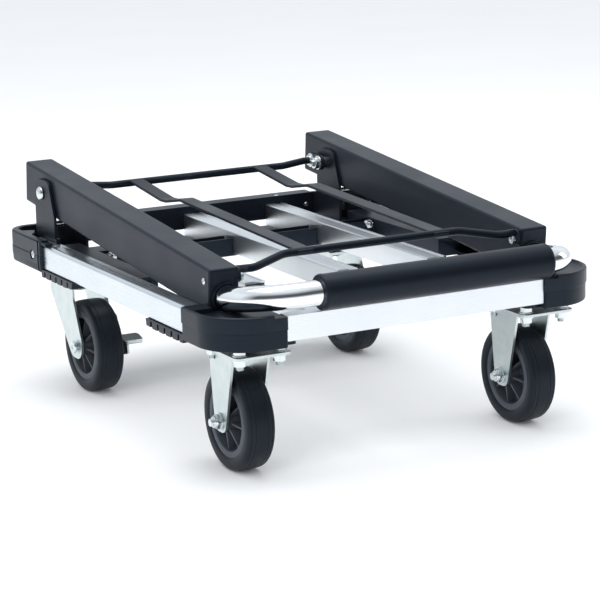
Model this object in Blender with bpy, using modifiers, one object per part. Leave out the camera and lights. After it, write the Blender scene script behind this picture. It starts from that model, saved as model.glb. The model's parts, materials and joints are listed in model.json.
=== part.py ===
"""A folding luggage cart, folded flat: telescoping deck, four casters, and a handle that folds up and pulls out.

Built in millimetres from the middle of the chassis and scaled to metres. X is right, -Y is the front, Z is up.
"""

import math

import bmesh
import bpy
from mathutils import Matrix, Vector

MM = 0.001
SHIFT_Y = 3.3  # from the middle of the chassis to the middle of the whole cart

# Deck rails
RAIL_IN, RAIL_OUT = 191.6, 211.5
RAIL_BOTTOM, RAIL_TOP = 138.5, 165.0
RAIL_FRONT, RAIL_REAR = -200.0, 170.5
RAIL_WALL = 2.0

# Slats that carry the load: the front ones slide inside the rear ones
SLAT_X = {"left": -105.0, "centre": 0.0, "right": 105.0}
SLAT_WIDTH, FRONT_SLAT_WIDTH = 23.0, 18.0
SLAT_WALL = 1.5

# Bumpers at the four corners
BUMPER_OUT = 215.5
BUMPER_FRONT, BUMPER_REAR = -264.5, 271.0
BUMPER_TOP = 169.2

# Handle arms, square across their own slope
ARM_IN, ARM_OUT = 159.0, 191.0
ARM_REAR_TOP = (262.5, 241.5)
ARM_FRONT_TOP = (-196.2, 200.8)
ARM_HEIGHT = 44.75
ARM_WALL = 2.0
PIVOT = (210.0, 213.7)
STOP_PIN = (181.0, 184.5)

# Handle bar
TUBE_R, TUBE_WALL = 12.25, 1.6
TUBE_X = 173.8
TUBE_DROP = 5.4  # the tube lies this far below the middle of the arm
BAR_Y, BAR_Z = -260.0, 181.1
GRIP_R = 17.6
GRIP_LEFT, GRIP_RIGHT = -108.5, 147.0

# Casters
WHEEL_R, WHEEL_WIDTH, WHEEL_X = 50.0, 30.0, 160.0
FRONT_AXLE_Y = -188.0
KINGPIN_Y, REAR_AXLE_Y = 200.0, 163.6
LEG_IN, LEG_OUT = 18.0, 20.5
AXLE_R, BORE_R = 4.0, 4.3

SIDES = (("left", -1), ("right", 1))


def clear_scene():
    for old in list(bpy.data.objects):
        bpy.data.objects.remove(old)


def material(name, colour, roughness, metallic):
    made = bpy.data.materials.new(name)
    made.use_nodes = True
    shader = made.node_tree.nodes["Principled BSDF"]
    shader.inputs["Base Color"].default_value = (*colour, 1.0)
    shader.inputs["Roughness"].default_value = roughness
    shader.inputs["Metallic"].default_value = metallic
    return made


def empty(name, location, parent=None):
    """A frame at a joint, in millimetres; what moves with the joint is its child."""
    made = bpy.data.objects.new(name, None)
    made.empty_display_size = 0.03
    made.location = Vector(location) * MM
    made.parent = parent
    cart.objects.link(made)
    return made


def place(obj, parent, root):
    """Hangs obj on parent without moving it."""
    obj.parent = parent
    offset = Vector((0, 0, 0))
    frame = parent
    while frame is not None and frame != root:
        offset += frame.location
        frame = frame.parent
    obj.matrix_parent_inverse = Matrix.Translation(-offset)


def finished(mesh, mat, smooth):
    """Faces pointing out, doubles welded, and the material and shading set."""
    bm = bmesh.new()
    bm.from_mesh(mesh)
    bmesh.ops.remove_doubles(bm, verts=bm.verts, dist=0.01 * MM)
    bmesh.ops.recalc_face_normals(bm, faces=bm.faces)
    bm.to_mesh(mesh)
    bm.free()
    mesh.materials.clear()
    if mat:
        mesh.materials.append(mat)
    if smooth:
        mesh.shade_smooth()
        mesh.set_sharp_from_angle(angle=math.radians(40))
    else:
        mesh.shade_flat()


def add(name, data, matrix, mat=None):
    obj = bpy.data.objects.new(name, data)
    obj.matrix_world = matrix
    if mat:
        data.materials.append(mat)
    cart.objects.link(obj)
    return obj


def as_mesh(obj, mat=None, smooth=False):
    """The curve as a mesh object of the same name, where the curve stood."""
    name, matrix = obj.name, obj.matrix_basis.copy()
    bpy.context.view_layer.update()
    graph = bpy.context.evaluated_depsgraph_get()
    mesh = bpy.data.meshes.new_from_object(obj.evaluated_get(graph))
    bpy.data.objects.remove(obj)
    mesh.name = name
    finished(mesh, mat, smooth)
    return add(name, mesh, matrix)


def rounded(points, radii, steps=4, closed=True):
    """The points with an arc of its own radius at each corner; a radius of 0 keeps the corner."""
    points = [Vector((*p, 0.0)) if len(p) == 2 else Vector(p) for p in points]
    count = len(points)
    if not isinstance(radii, (list, tuple)):
        radii = [radii] * count
    out = []
    for i, (corner, radius) in enumerate(zip(points, radii)):
        if not radius or (not closed and i in (0, count - 1)):
            out.append(corner)
            continue
        u = (points[i - 1] - corner).normalized()
        v = (points[(i + 1) % count] - corner).normalized()
        half = u.angle(v) / 2
        centre = corner + (u + v).normalized() * (radius / math.sin(half))
        start = corner + u * (radius / math.tan(half)) - centre
        end = corner + v * (radius / math.tan(half)) - centre
        axis = start.cross(end).normalized()
        for k in range(steps + 1):
            out.append(centre + Matrix.Rotation(start.angle(end) * k / steps, 3, axis) @ start)
    return out


def turned_to(axis, centre):
    """The matrix that puts a shape drawn along its own Z onto the X, Y or Z axis at centre."""
    rows = {
        "X": ((0, 0, 1), (1, 0, 0), (0, 1, 0)),
        "Y": ((1, 0, 0), (0, 0, -1), (0, 1, 0)),
        "Z": ((1, 0, 0), (0, 1, 0), (0, 0, 1)),
    }[axis]
    return Matrix.Translation(Vector(centre) * MM) @ Matrix(rows).to_4x4()


def prism(name, outline, axis, start, end, mat=None):
    """A filled flat curve extruded along one axis: (y, z) for X, (x, z) for Y and (x, y) for Z."""
    curve = bpy.data.curves.new(name, "CURVE")
    curve.dimensions = "2D"
    curve.fill_mode = "BOTH"
    curve.extrude = abs(end - start) / 2 * MM
    spline = curve.splines.new("POLY")
    spline.points.add(len(outline) - 1)
    for point, (u, v) in zip(spline.points, (tuple(p)[:2] for p in outline)):
        point.co = (u * MM, v * MM, 0, 1)
    spline.use_cyclic_u = True
    middle = (start + end) / 2
    centre = {"X": (middle, 0, 0), "Y": (0, middle, 0), "Z": (0, 0, middle)}[axis]
    return as_mesh(add(name, curve, turned_to(axis, centre)), mat)


def boxes(name, parts, mat=None):
    """One or more blocks that don't touch, each given by its x, y and z limits, as one mesh."""
    bm = bmesh.new()
    for limits in parts:
        middle = Vector([sum(pair) / 2 for pair in limits]) * MM
        size = Vector([abs(pair[1] - pair[0]) for pair in limits]) * MM
        bmesh.ops.create_cube(bm, size=1.0, matrix=Matrix.Translation(middle) @ Matrix.Diagonal((*size, 1)))
    mesh = bpy.data.meshes.new(name)
    bm.to_mesh(mesh)
    bm.free()
    return add(name, mesh, Matrix.Identity(4), mat)


def box(name, x, y, z, mat=None):
    return boxes(name, [(x, y, z)], mat)


def lathe(name, profile, centre, axis, mat=None, steps=20, closed=True):
    """The (along, radius) profile turned by a Screw; an open profile starts and ends on the axis."""
    around = zip(profile, profile[1:] + profile[:1])
    if sum(p[1] * q[0] - q[1] * p[0] for p, q in around) > 0:
        profile = profile[::-1]
    mesh = bpy.data.meshes.new(name)
    count = len(profile)
    edges = [(i, (i + 1) % count) for i in range(count if closed else count - 1)]
    mesh.from_pydata([(radius * MM, 0, along * MM) for along, radius in profile], edges, [])
    obj = add(name, mesh, turned_to(axis, centre), mat)
    turn = obj.modifiers.new("Turn", "SCREW")
    turn.steps = steps
    turn.render_steps = steps
    turn.use_merge_vertices = True
    turn.merge_threshold = 0.00005
    turn.use_smooth_shade = True
    return obj


def disc(name, centre, axis, start, end, radius, steps=16, mat=None):
    """A cylinder between two places along an axis."""
    bm = bmesh.new()
    length = abs(end - start) * MM
    bmesh.ops.create_cone(bm, cap_ends=True, segments=steps, radius1=radius * MM, radius2=radius * MM, depth=length)
    mesh = bpy.data.meshes.new(name)
    bm.to_mesh(mesh)
    bm.free()
    matrix = turned_to(axis, centre) @ Matrix.Translation((0, 0, (start + end) / 2 * MM))
    return add(name, mesh, matrix, mat)


def sweep(name, path, radius, mat=None, resolution=2, wall=0.0):
    """A round bar along a path, or a tube of that wall."""
    curve = bpy.data.curves.new(name, "CURVE")
    curve.dimensions = "3D"
    curve.bevel_depth = radius * MM
    curve.bevel_resolution = resolution
    curve.use_fill_caps = not wall
    spline = curve.splines.new("POLY")
    spline.points.add(len(path) - 1)
    for point, place_at in zip(spline.points, path):
        point.co = (*(Vector(place_at) * MM), 1)
    obj = as_mesh(add(name, curve, Matrix.Identity(4)), mat, True)
    if wall:
        shell = obj.modifiers.new("Wall", "SOLIDIFY")
        shell.thickness = wall * MM
        shell.offset = -1
    return obj


def strip(points, thickness):
    """The outline of a flat bar bent along (y, z) points."""
    points = [Vector(p) for p in points]
    sides = ([], [])
    for i, here in enumerate(points):
        along = (points[min(i + 1, len(points) - 1)] - points[max(i - 1, 0)]).normalized()
        normal = Vector((-along.y, along.x)) * thickness / 2
        sides[0].append(here + normal)
        sides[1].append(here - normal)
    return sides[0] + sides[1][::-1]


def combine(obj, others, operation):
    for other in others:
        step = obj.modifiers.new(other.name, "BOOLEAN")
        step.operation = operation
        step.object = other
        step.solver = "EXACT"
        cart.objects.unlink(other)
        cutters.objects.link(other)
        other.hide_render = True
        other.display_type = "WIRE"
        other.parent = obj
        other.matrix_parent_inverse = obj.matrix_basis.inverted()
    return obj


def cut(obj, *others):
    return combine(obj, others, "DIFFERENCE")


def join(obj, *others):
    return combine(obj, others, "UNION")


def soften(obj, width=0.6, segments=2):
    edge = obj.modifiers.new("Soft edges", "BEVEL")
    edge.width = width * MM
    edge.segments = segments
    edge.limit_method = "ANGLE"
    edge.angle_limit = math.radians(50)
    return obj


def mirrored(outline, side):
    return [(p[0] * side, p[1]) for p in outline]


clear_scene()
cart = bpy.data.collections.new("folding_luggage_cart")
cutters = bpy.data.collections.new("cutters")
cutters.hide_render = True
bpy.context.scene.collection.children.link(cart)
bpy.context.scene.collection.children.link(cutters)

BLACK = material("satin_black_paint", (0.030, 0.031, 0.034), 0.38, 0.0)
PLASTIC = material("black_plastic", (0.022, 0.022, 0.023), 0.55, 0.0)
FOAM = material("black_foam_grip", (0.018, 0.018, 0.019), 0.85, 0.0)
ALUMINIUM = material("satin_aluminium", (0.80, 0.80, 0.81), 0.32, 1.0)
CHROME = material("bright_tube", (0.86, 0.86, 0.87), 0.12, 1.0)
ZINC = material("zinc_plated_steel", (0.60, 0.60, 0.61), 0.35, 1.0)
RUBBER = material("black_tyre", (0.016, 0.016, 0.017), 0.75, 0.0)
RIM = material("dark_grey_rim", (0.10, 0.10, 0.105), 0.5, 0.0)

root = empty("cart_frame", (0, SHIFT_Y, 0))
front_frame = empty("platform_slide", (0, 0, RAIL_TOP), root)
fold_frame = empty("handle_fold_axis", (0, *PIVOT), root)

# ---------------------------------------------------------------- rear chassis

chassis = []

beam = box("rear_beam", (-155.5, 155.5), (240.5, 260.5), (148.0, 175.0), ALUMINIUM)
beam_bore = box("rear_beam_bore", (-160, 160), (243.0, 258.0), (150.5, 166.0))
beam_notches = boxes("rear_beam_notches", [((x - 10, x + 10), (236, 265), (169, 180)) for x in SLAT_X.values()])
cut(beam, beam_bore, beam_notches)
chassis.append(soften(beam, 0.8))

channel = [(115, 139), (135, 139), (135, 159), (132.5, 159), (132.5, 141.2), (117.5, 141.2), (117.5, 159), (115, 159)]
member = prism("cross_member", channel, "X", -179.5, 179.5, BLACK)
gaps = [((x - 12.5, x + 12.5), (110, 140), (141.5, 165)) for x in SLAT_X.values()]
cut(member, boxes("cross_member_gaps", gaps))
chassis.append(member)

deck_outline = rounded([(-190, 160), (190, 160), (190, 255), (-190, 255)], 6)
deck = prism("caster_deck", deck_outline, "Z", 134.0, 138.0, BLACK)
holes = [disc(f"caster_deck_hole_{n}", (s * WHEEL_X, KINGPIN_Y, 0), "Z", 130, 142, 9) for n, s in SIDES]
cut(deck, *holes)
chassis.append(deck)

for name, s in SIDES:
    profile = [(208.5, 141.5), (208.5, 162.0), (193.0, 162.0), (193.0, 159.5), (206.2, 159.5), (206.2, 144.0)]
    profile += [(193.0, 144.0), (193.0, 141.5)]
    inner = prism(f"inner_channel_{name}", mirrored(profile, s), "Y", -165.0, 170.0, BLACK)
    ledge_profile = [(180, 141.5), (193.6, 141.5), (193.6, 161.0), (180, 161.0)]
    ledge = prism(f"inner_ledge_{name}", mirrored(ledge_profile, s), "Y", -60.0, 150.0)
    chassis.append(join(inner, ledge))

    cheek = rounded(
        [(176.5, 138.4), (176.5, 190.7), (190.5, 229), (229, 229), (229, 150), (238, 150), (238, 138.4)],
        [0, 4, 9, 12, 3, 0, 0],
    )
    bracket = prism(f"bracket_{name}", cheek, "X", s * 192.0, s * 195.0, BLACK)
    tail = rounded(
        [(176.5, 138.4), (176.5, 190.7), (190.5, 229), (229, 229), (229, 176), (260, 171), (260, 138.4)],
        [0, 4, 9, 12, 6, 3, 0],
    )
    inner_cheek = prism(f"bracket_inner_{name}", tail, "X", s * 155.8, s * 158.8)
    base = box(f"bracket_base_{name}", (s * 156.8, s * 193.8), (178.0, 236.0), (138.9, 141.4))
    bore = disc(f"bracket_bore_{name}", (0, *PIVOT), "X", s * 150, s * 200, BORE_R)
    pin_bore = disc(f"bracket_pin_bore_{name}", (0, *STOP_PIN), "X", s * 150, s * 200, 3.3, 12)
    join(bracket, base, inner_cheek)
    chassis.append(cut(bracket, bore, pin_bore))

    outline = rounded(
        [(190.8, 171), (BUMPER_OUT, 171), (BUMPER_OUT, BUMPER_REAR), (160, BUMPER_REAR), (160, 256), (190.8, 256)],
        [0, 2, 24, 1.5, 0, 0],
        8,
    )
    bumper = prism(f"rear_bumper_{name}", mirrored(outline, s), "Z", 134.0, BUMPER_TOP, PLASTIC)
    pocket = rounded([(150, 176), (206.8, 176), (206.8, 262), (150, 262)], [0, 2, 13, 0], 8)
    cavity = prism(f"rear_bumper_pocket_{name}", mirrored(pocket, s), "Z", 138.3, 175.0)
    collar = boxes(
        f"rear_bumper_collar_{name}",
        [
            ((s * 213.9, s * 220), (174.5, 178.5), (130, 175)),
            ((s * 160, s * 213.2), (165, 171.3), (165.4, 170)),
        ],
    )
    tongue_way = box(f"rear_bumper_tongue_way_{name}", (s * 195.4, s * 204.8), (160, 180), (162.6, 175))
    gusset = [(208, 243), (194, 238), (196, 232), (208, 213)]
    gusset = prism(f"rear_bumper_gusset_{name}", mirrored(gusset, s), "Z", 165.6, BUMPER_TOP - 0.6)
    hook = box(f"rear_bumper_hook_{name}", (s * 205.2, s * 214.5), (158.0, 173.0), (165.5, 168.0))
    flange_side = [(88, 136.4), (88, 138.2), (172, 138.2), (172, 134.2), (171, 131), (128, 131)]
    flange = prism(f"rear_bumper_flange_{name}", flange_side, "X", s * 192.5, s * 214.0)
    groove_rows = [((s * 212.0, s * 216.0), (y, y + 4.0), (128, 137)) for y in (100, 112, 124, 136, 148, 160)]
    screw_hole = disc(f"rear_bumper_screw_hole_{name}", (0, 194, 151), "X", s * 200, s * 220, 2.3, 10)
    screw_seat = disc(f"rear_bumper_screw_seat_{name}", (0, 194, 151), "X", s * 213.0, s * 220, 5.4)
    cut(bumper, cavity, collar, tongue_way)
    join(bumper, hook, flange, gusset)
    cut(bumper, boxes(f"rear_bumper_grooves_{name}", groove_rows), screw_hole, screw_seat)
    chassis.append(bumper)

    profile = [(205, 0), (205, 2), (213.3, 2), (213.3, 5), (214.6, 4.6), (215.4, 3.2), (215.4, 0)]
    screw = lathe(f"bumper_screw_{name}", [(s * a, r) for a, r in profile], (0, 194, 151), "X", ZINC, 14, False)
    chassis.append(screw)

    profile = [(139, 0), (139, 4), (141, 4), (141, 7.2), (147.5, 7.2), (147.5, 4), (152.4, 4), (152.4, 7)]
    profile += [(155.4, 7), (155.4, 4), (195.3, 4), (195.3, 7), (198, 7), (199.5, 5), (199.5, 0)]
    bolt = lathe(f"pivot_bolt_{name}", [(s * a, r) for a, r in profile], (0, *PIVOT), "X", ZINC, 16, False)
    chassis.append(bolt)
    profile = [(154, 0), (154, 4.5), (155.5, 4.5), (155.5, 3), (195.3, 3), (195.3, 5), (196.8, 5), (197.5, 4), (197.5, 0)]
    pin = lathe(f"stop_pin_{name}", [(s * a, r) for a, r in profile], (0, *STOP_PIN), "X", ZINC, 12, False)
    chassis.append(pin)

for name, x in SLAT_X.items():
    half, wall = SLAT_WIDTH / 2, SLAT_WALL
    profile = [(-half, 142), (-half, 165.8), (half, 165.8), (half, 142), (half - wall, 142), (half - wall, 164.3)]
    profile += [(wall - half, 164.3), (wall - half, 142)]
    slat = prism(f"slat_{name}", [(x + a, b) for a, b in profile], "Y", -121.0, 240.2, ALUMINIUM)
    chassis.append(slat)

# ---------------------------------------------------------------- line of the handle

slope = Vector(ARM_REAR_TOP) - Vector(ARM_FRONT_TOP)
along = slope.normalized()
down = Vector((along.y, -along.x))
front_top, rear_top = Vector(ARM_FRONT_TOP), Vector(ARM_REAR_TOP)
front_bottom, rear_bottom = front_top + down * ARM_HEIGHT, rear_top + down * ARM_HEIGHT
arm_axis = front_top + down * (ARM_HEIGHT / 2 + TUBE_DROP)
leg_end = arm_axis + along * 385
leg_out = arm_axis - along * 9

# ---------------------------------------------------------------- front of the deck

front = []

profile = [(-260.6, 138.5), (-260.6, 163.2), (-246, 163.2), (-246, 161.2), (-258.6, 161.2), (-258.6, 140.5)]
profile += [(-246, 140.5), (-246, 138.5)]
front.append(prism("front_rail", profile, "X", -144.7, 144.7, ALUMINIUM))

for name, x in SLAT_X.items():
    half, wall = FRONT_SLAT_WIDTH / 2, SLAT_WALL
    profile = [(-half, 144), (-half, 162.5), (half, 162.5), (half, 144), (half - wall, 144), (half - wall, 161)]
    profile += [(wall - half, 161), (wall - half, 144)]
    front.append(prism(f"front_slat_{name}", [(x + a, b) for a, b in profile], "Y", -245.7, 200.0, ALUMINIUM))

for name, s in SIDES:
    wall = RAIL_WALL
    profile = rounded(
        [
            (RAIL_IN, RAIL_BOTTOM),
            (RAIL_OUT, RAIL_BOTTOM),
            (RAIL_OUT, RAIL_TOP),
            (RAIL_IN, RAIL_TOP),
            (RAIL_IN, RAIL_TOP - wall),
            (RAIL_OUT - wall, RAIL_TOP - wall),
            (RAIL_OUT - wall, RAIL_BOTTOM + wall),
            (RAIL_IN, RAIL_BOTTOM + wall),
        ],
        [0, 2.5, 4.5, 0, 0, 2.5, 0.5, 0],
    )
    rail = prism(f"side_rail_{name}", mirrored(profile, s), "Y", RAIL_FRONT, RAIL_REAR, ALUMINIUM)
    tongue = [(196.0, RAIL_TOP - wall + 0.1), (196.0, RAIL_TOP - 0.1), (204.2, RAIL_TOP - 0.1), (204.2, RAIL_TOP - wall + 0.1)]
    tongue = prism(f"side_rail_tongue_{name}", mirrored(tongue, s), "Y", RAIL_REAR - 10, RAIL_REAR + 42)
    front.append(join(rail, tongue))

    outline = rounded(
        [(145, BUMPER_FRONT), (BUMPER_OUT, BUMPER_FRONT), (BUMPER_OUT, -181), (156, -181), (145, -196)],
        [2, 50, 1.5, 3, 3],
        10,
    )
    bumper = prism(f"front_bumper_{name}", mirrored(outline, s), "Z", 133.0, 166.0, PLASTIC)
    dish = rounded(
        [(140, -260.5), (211.5, -260.5), (211.5, -204), (190.8, -204), (190.8, -170), (140, -170)],
        [0, 46, 0, 3, 0, 0],
        10,
    )
    dish = prism(f"front_bumper_dish_{name}", mirrored(dish, s), "Z", 162.0, 170.0)
    lip = box(f"front_bumper_lip_{name}", (s * 140, s * 158), (-270, -250), (163.1, 170))
    arm_seat = box(f"front_bumper_arm_seat_{name}", (s * 140, s * 191.3), (-201.2, -170), (155.6, 172))
    towards = (Vector((BAR_Y, BAR_Z)) - leg_out).normalized()
    groove = [(s * TUBE_X, *(leg_out + towards * t)) for t in (-20, 22)]
    groove = sweep(f"front_bumper_tube_groove_{name}", groove, TUBE_R + 0.9, resolution=5)
    hollow = rounded(
        [(140, -258), (211.8, -258), (211.8, -200), (211.8, -170), (140, -170)],
        [0, 46, 0, 0, 0],
        10,
    )
    hollow = prism(f"front_bumper_hollow_{name}", mirrored(hollow, s), "Z", 136.5, 158.3)
    sleeve = box(f"front_bumper_sleeve_{name}", (s * 188, s * 211.8), (-205, -170), (150.0, 165.3))
    base = prism(
        f"front_bumper_base_{name}",
        mirrored(rounded([(128, -252), (195, -252), (195, -163), (128, -163)], 5), s),
        "Z",
        133.0,
        136.6,
    )
    flange_side = [(-97, 136.4), (-97, 138.2), (-182, 138.2), (-182, 134.2), (-181, 131), (-137, 131)]
    flange = prism(f"front_bumper_flange_{name}", flange_side, "X", s * 192.5, s * 214.0)
    groove_rows = [((s * 212.0, s * 216.0), (-y - 4.0, -y), (128, 137)) for y in (108, 120, 132, 144, 156, 168)]
    cut(bumper, dish, lip, hollow, sleeve, arm_seat, groove)
    join(bumper, base, flange)
    cut(bumper, boxes(f"front_bumper_grooves_{name}", groove_rows))
    front.append(bumper)

    # rigid front caster
    x = s * WHEEL_X
    plate = rounded([(x - 30, -246), (x + 30, -246), (x + 30, -166), (x - 30, -166)], 5)
    fork = prism(f"front_fork_{name}", plate, "Z", 122.0, 124.5, ZINC)
    leg = rounded([(-219, 123.0), (-198.5, 39.5), (-177.5, 39.5), (-167, 123.0)], [0, 9, 9, 0])
    legs = [
        prism(f"front_fork_leg_{name}_{n}", leg, "X", x + side * LEG_IN, x + side * LEG_OUT)
        for n, side in (("in", -s), ("out", s))
    ]
    bore = disc(f"front_fork_bore_{name}", (x, FRONT_AXLE_Y, 50), "X", -30, 30, BORE_R)
    bolts = [
        disc(f"front_fork_bolt_{name}_{i}{j}", (x + i * 21, y, 0), "Z", 123.0, 132.7, 5.2, 12)
        for i in (-1, 1)
        for j, y in enumerate((-235, -177))
    ]
    join(fork, *legs, *bolts)
    front.append(cut(fork, bore))

    profile = [(-26, 0), (-26, 6.5), (-20.8, 6.5), (-20.8, 4), (20.8, 4), (20.8, 6.5), (26.5, 6.5), (26.5, 4), (30, 4), (30, 0)]
    axle = lathe(
        f"front_axle_{name}", [(s * a, r) for a, r in profile], (x, FRONT_AXLE_Y, 50), "X", ZINC, 16, False
    )
    front.append(axle)

# ---------------------------------------------------------------- handle

handle_base = []
handle_bar = []
for name, s in SIDES:
    outline = [front_top, rear_top, rear_bottom, front_bottom]
    arm = prism(f"arm_{name}", outline, "X", s * ARM_IN, s * ARM_OUT, BLACK)
    soften(arm, 1.6, 3)
    inside = [
        front_top - along * 5 + down * ARM_WALL,
        rear_top - along * 3 + down * ARM_WALL,
        rear_bottom - along * 3 - down * ARM_WALL,
        front_bottom - along * 5 - down * ARM_WALL,
    ]
    inside = prism(f"arm_inside_{name}", inside, "X", s * (ARM_IN + ARM_WALL), s * (ARM_OUT - ARM_WALL))
    bore = disc(f"arm_bore_{name}", (0, *PIVOT), "X", s * 150, s * 200, BORE_R)
    handle_base.append(cut(arm, inside, bore))

    gap = ARM_WALL + 0.3
    plug = [
        front_top - along + down * gap,
        front_top + along * 24 + down * gap,
        front_bottom + along * 24 - down * gap,
        front_bottom - along - down * gap,
    ]
    cap = prism(f"arm_cap_{name}", plug, "X", s * (ARM_IN + gap), s * (ARM_OUT - gap), PLASTIC)
    start = Vector((s * TUBE_X, *(arm_axis - along * 2.6)))
    end = Vector((s * TUBE_X, *(arm_axis - along * 0.4)))
    ring = sweep(f"arm_cap_ring_{name}", [start, end], 14.8, resolution=6)
    start = Vector((s * TUBE_X, *(arm_axis - along * 20)))
    end = Vector((s * TUBE_X, *(arm_axis + along * 40)))
    hole = sweep(f"arm_cap_hole_{name}", [start, end], TUBE_R + 0.7, resolution=6)
    join(cap, ring)
    handle_base.append(cut(cap, hole))

bars = []
rod_rear, rod_front = (222.0, 212.0), (-172.0, 202.0)
for name, s in SIDES:
    x = s * 77
    bar_path = [(223.0, 214.5), (140.0, 205.0), (128.0, 206.0), (92.0, 212.0), (-176.0, 202.5)]
    bars.append(prism(f"rack_bar_{name}", strip(bar_path, 3.0), "X", x - 9, x + 9))
    rod_end = Vector((228, 214))
    eye = rod_end - Vector(PIVOT)
    lug = [Vector(PIVOT), rod_end]
    side = Vector((-eye.y, eye.x)).normalized() * 8.5
    reach = eye.normalized() * 8.5
    lug = rounded([lug[0] - reach + side, lug[1] + reach + side, lug[1] + reach - side, lug[0] - reach - side], 7.5)
    bars.append(prism(f"rack_lug_{name}", lug, "X", s * 147.9, s * 152.0))
    foot = rounded([(-196, 184), (-179, 184), (-177, 202), (-194, 202)], 5)
    bars.append(prism(f"rack_foot_{name}", foot, "X", s * 155.2, s * 158.7))
ends = [(157.0, -186, 196), (138, -186, 195.5), (99, *rod_front)]
path = rounded([(-x, y, z) for x, y, z in ends] + ends[::-1], [0, 30, 30, 30, 30, 0], 4, closed=False)
ends = [(151.5, 228, 214), (138, 228, 214), (108, *rod_rear)]
rear_path = rounded([(-x, y, z) for x, y, z in ends] + ends[::-1], [0, 20, 30, 30, 20, 0], 4, closed=False)
rack = sweep("rack", rear_path, 4.0, BLACK)
front_rod = sweep("rack_front_rod", path, 4.0)
join(rack, *bars, front_rod)
bores = [disc(f"rack_bore_{n}", (0, *PIVOT), "X", s * 145, s * 155, BORE_R) for n, s in SIDES]
handle_base.append(cut(rack, *bores))

slide_frame = empty("handle_slide_start", (0, arm_axis.x - PIVOT[0], arm_axis.y - PIVOT[1]), fold_frame)
half = [(TUBE_X, *leg_end), (TUBE_X, *leg_out), (TUBE_X, BAR_Y, BAR_Z), (0, BAR_Y, BAR_Z)]
path = half + [(-x, y, z) for x, y, z in half[-2::-1]]
path = rounded(path, [0, 15, 26, 0, 52, 15, 0], 5, closed=False)
tube = sweep("handle_tube", path, TUBE_R, CHROME, 5, TUBE_WALL)
handle_bar.append(tube)

bore = TUBE_R + 0.6
profile = [(GRIP_LEFT, bore), (GRIP_LEFT, GRIP_R - 2), (GRIP_LEFT + 2, GRIP_R)]
profile += [(GRIP_RIGHT - 2, GRIP_R), (GRIP_RIGHT, GRIP_R - 2), (GRIP_RIGHT, bore)]
grip = lathe("handle_grip", profile, (0, BAR_Y, BAR_Z), "X", FOAM, 24)
handle_bar.append(grip)

# ---------------------------------------------------------------- wheels and swivel casters

TYRE = [(-15, 39.2), (-15, 45.5), (-12, 49), (0, 50), (12, 49), (15, 45.5), (15, 39.2)]
RING = [(-13, 34.3), (-13, 38.9), (13, 38.9), (13, 34.3)]
HUB = [(-16.5, 4.3), (-16.5, 12), (16.5, 12), (16.5, 4.3)]


def wheel(name, x, y, parent):
    """A tyre on a six-spoke rim, turning on the X line through its middle."""
    tyre = lathe(f"{name}_tyre", TYRE, (x, y, WHEEL_R), "X", RUBBER, 40)
    rim = lathe(f"{name}_rim", RING, (x, y, WHEEL_R), "X", RIM, 36)
    hub = lathe(f"{name}_hub", HUB, (x, y, WHEEL_R), "X", steps=18)
    bm = bmesh.new()
    for k in range(6):
        turn = Matrix.Rotation(math.radians(60 * k + 12), 4, "X") @ Matrix.Translation((0, 0, 22 * MM))
        size = Matrix.Diagonal((10 * MM, 4.8 * MM, 27 * MM, 1))
        bmesh.ops.create_cube(bm, size=1.0, matrix=turn @ size)
    mesh = bpy.data.meshes.new(f"{name}_spokes")
    bm.to_mesh(mesh)
    bm.free()
    spokes = add(f"{name}_spokes", mesh, Matrix.Translation(Vector((x, y, WHEEL_R)) * MM))
    join(rim, spokes, hub)
    for piece in (tyre, rim):
        place(piece, parent, root)


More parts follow.
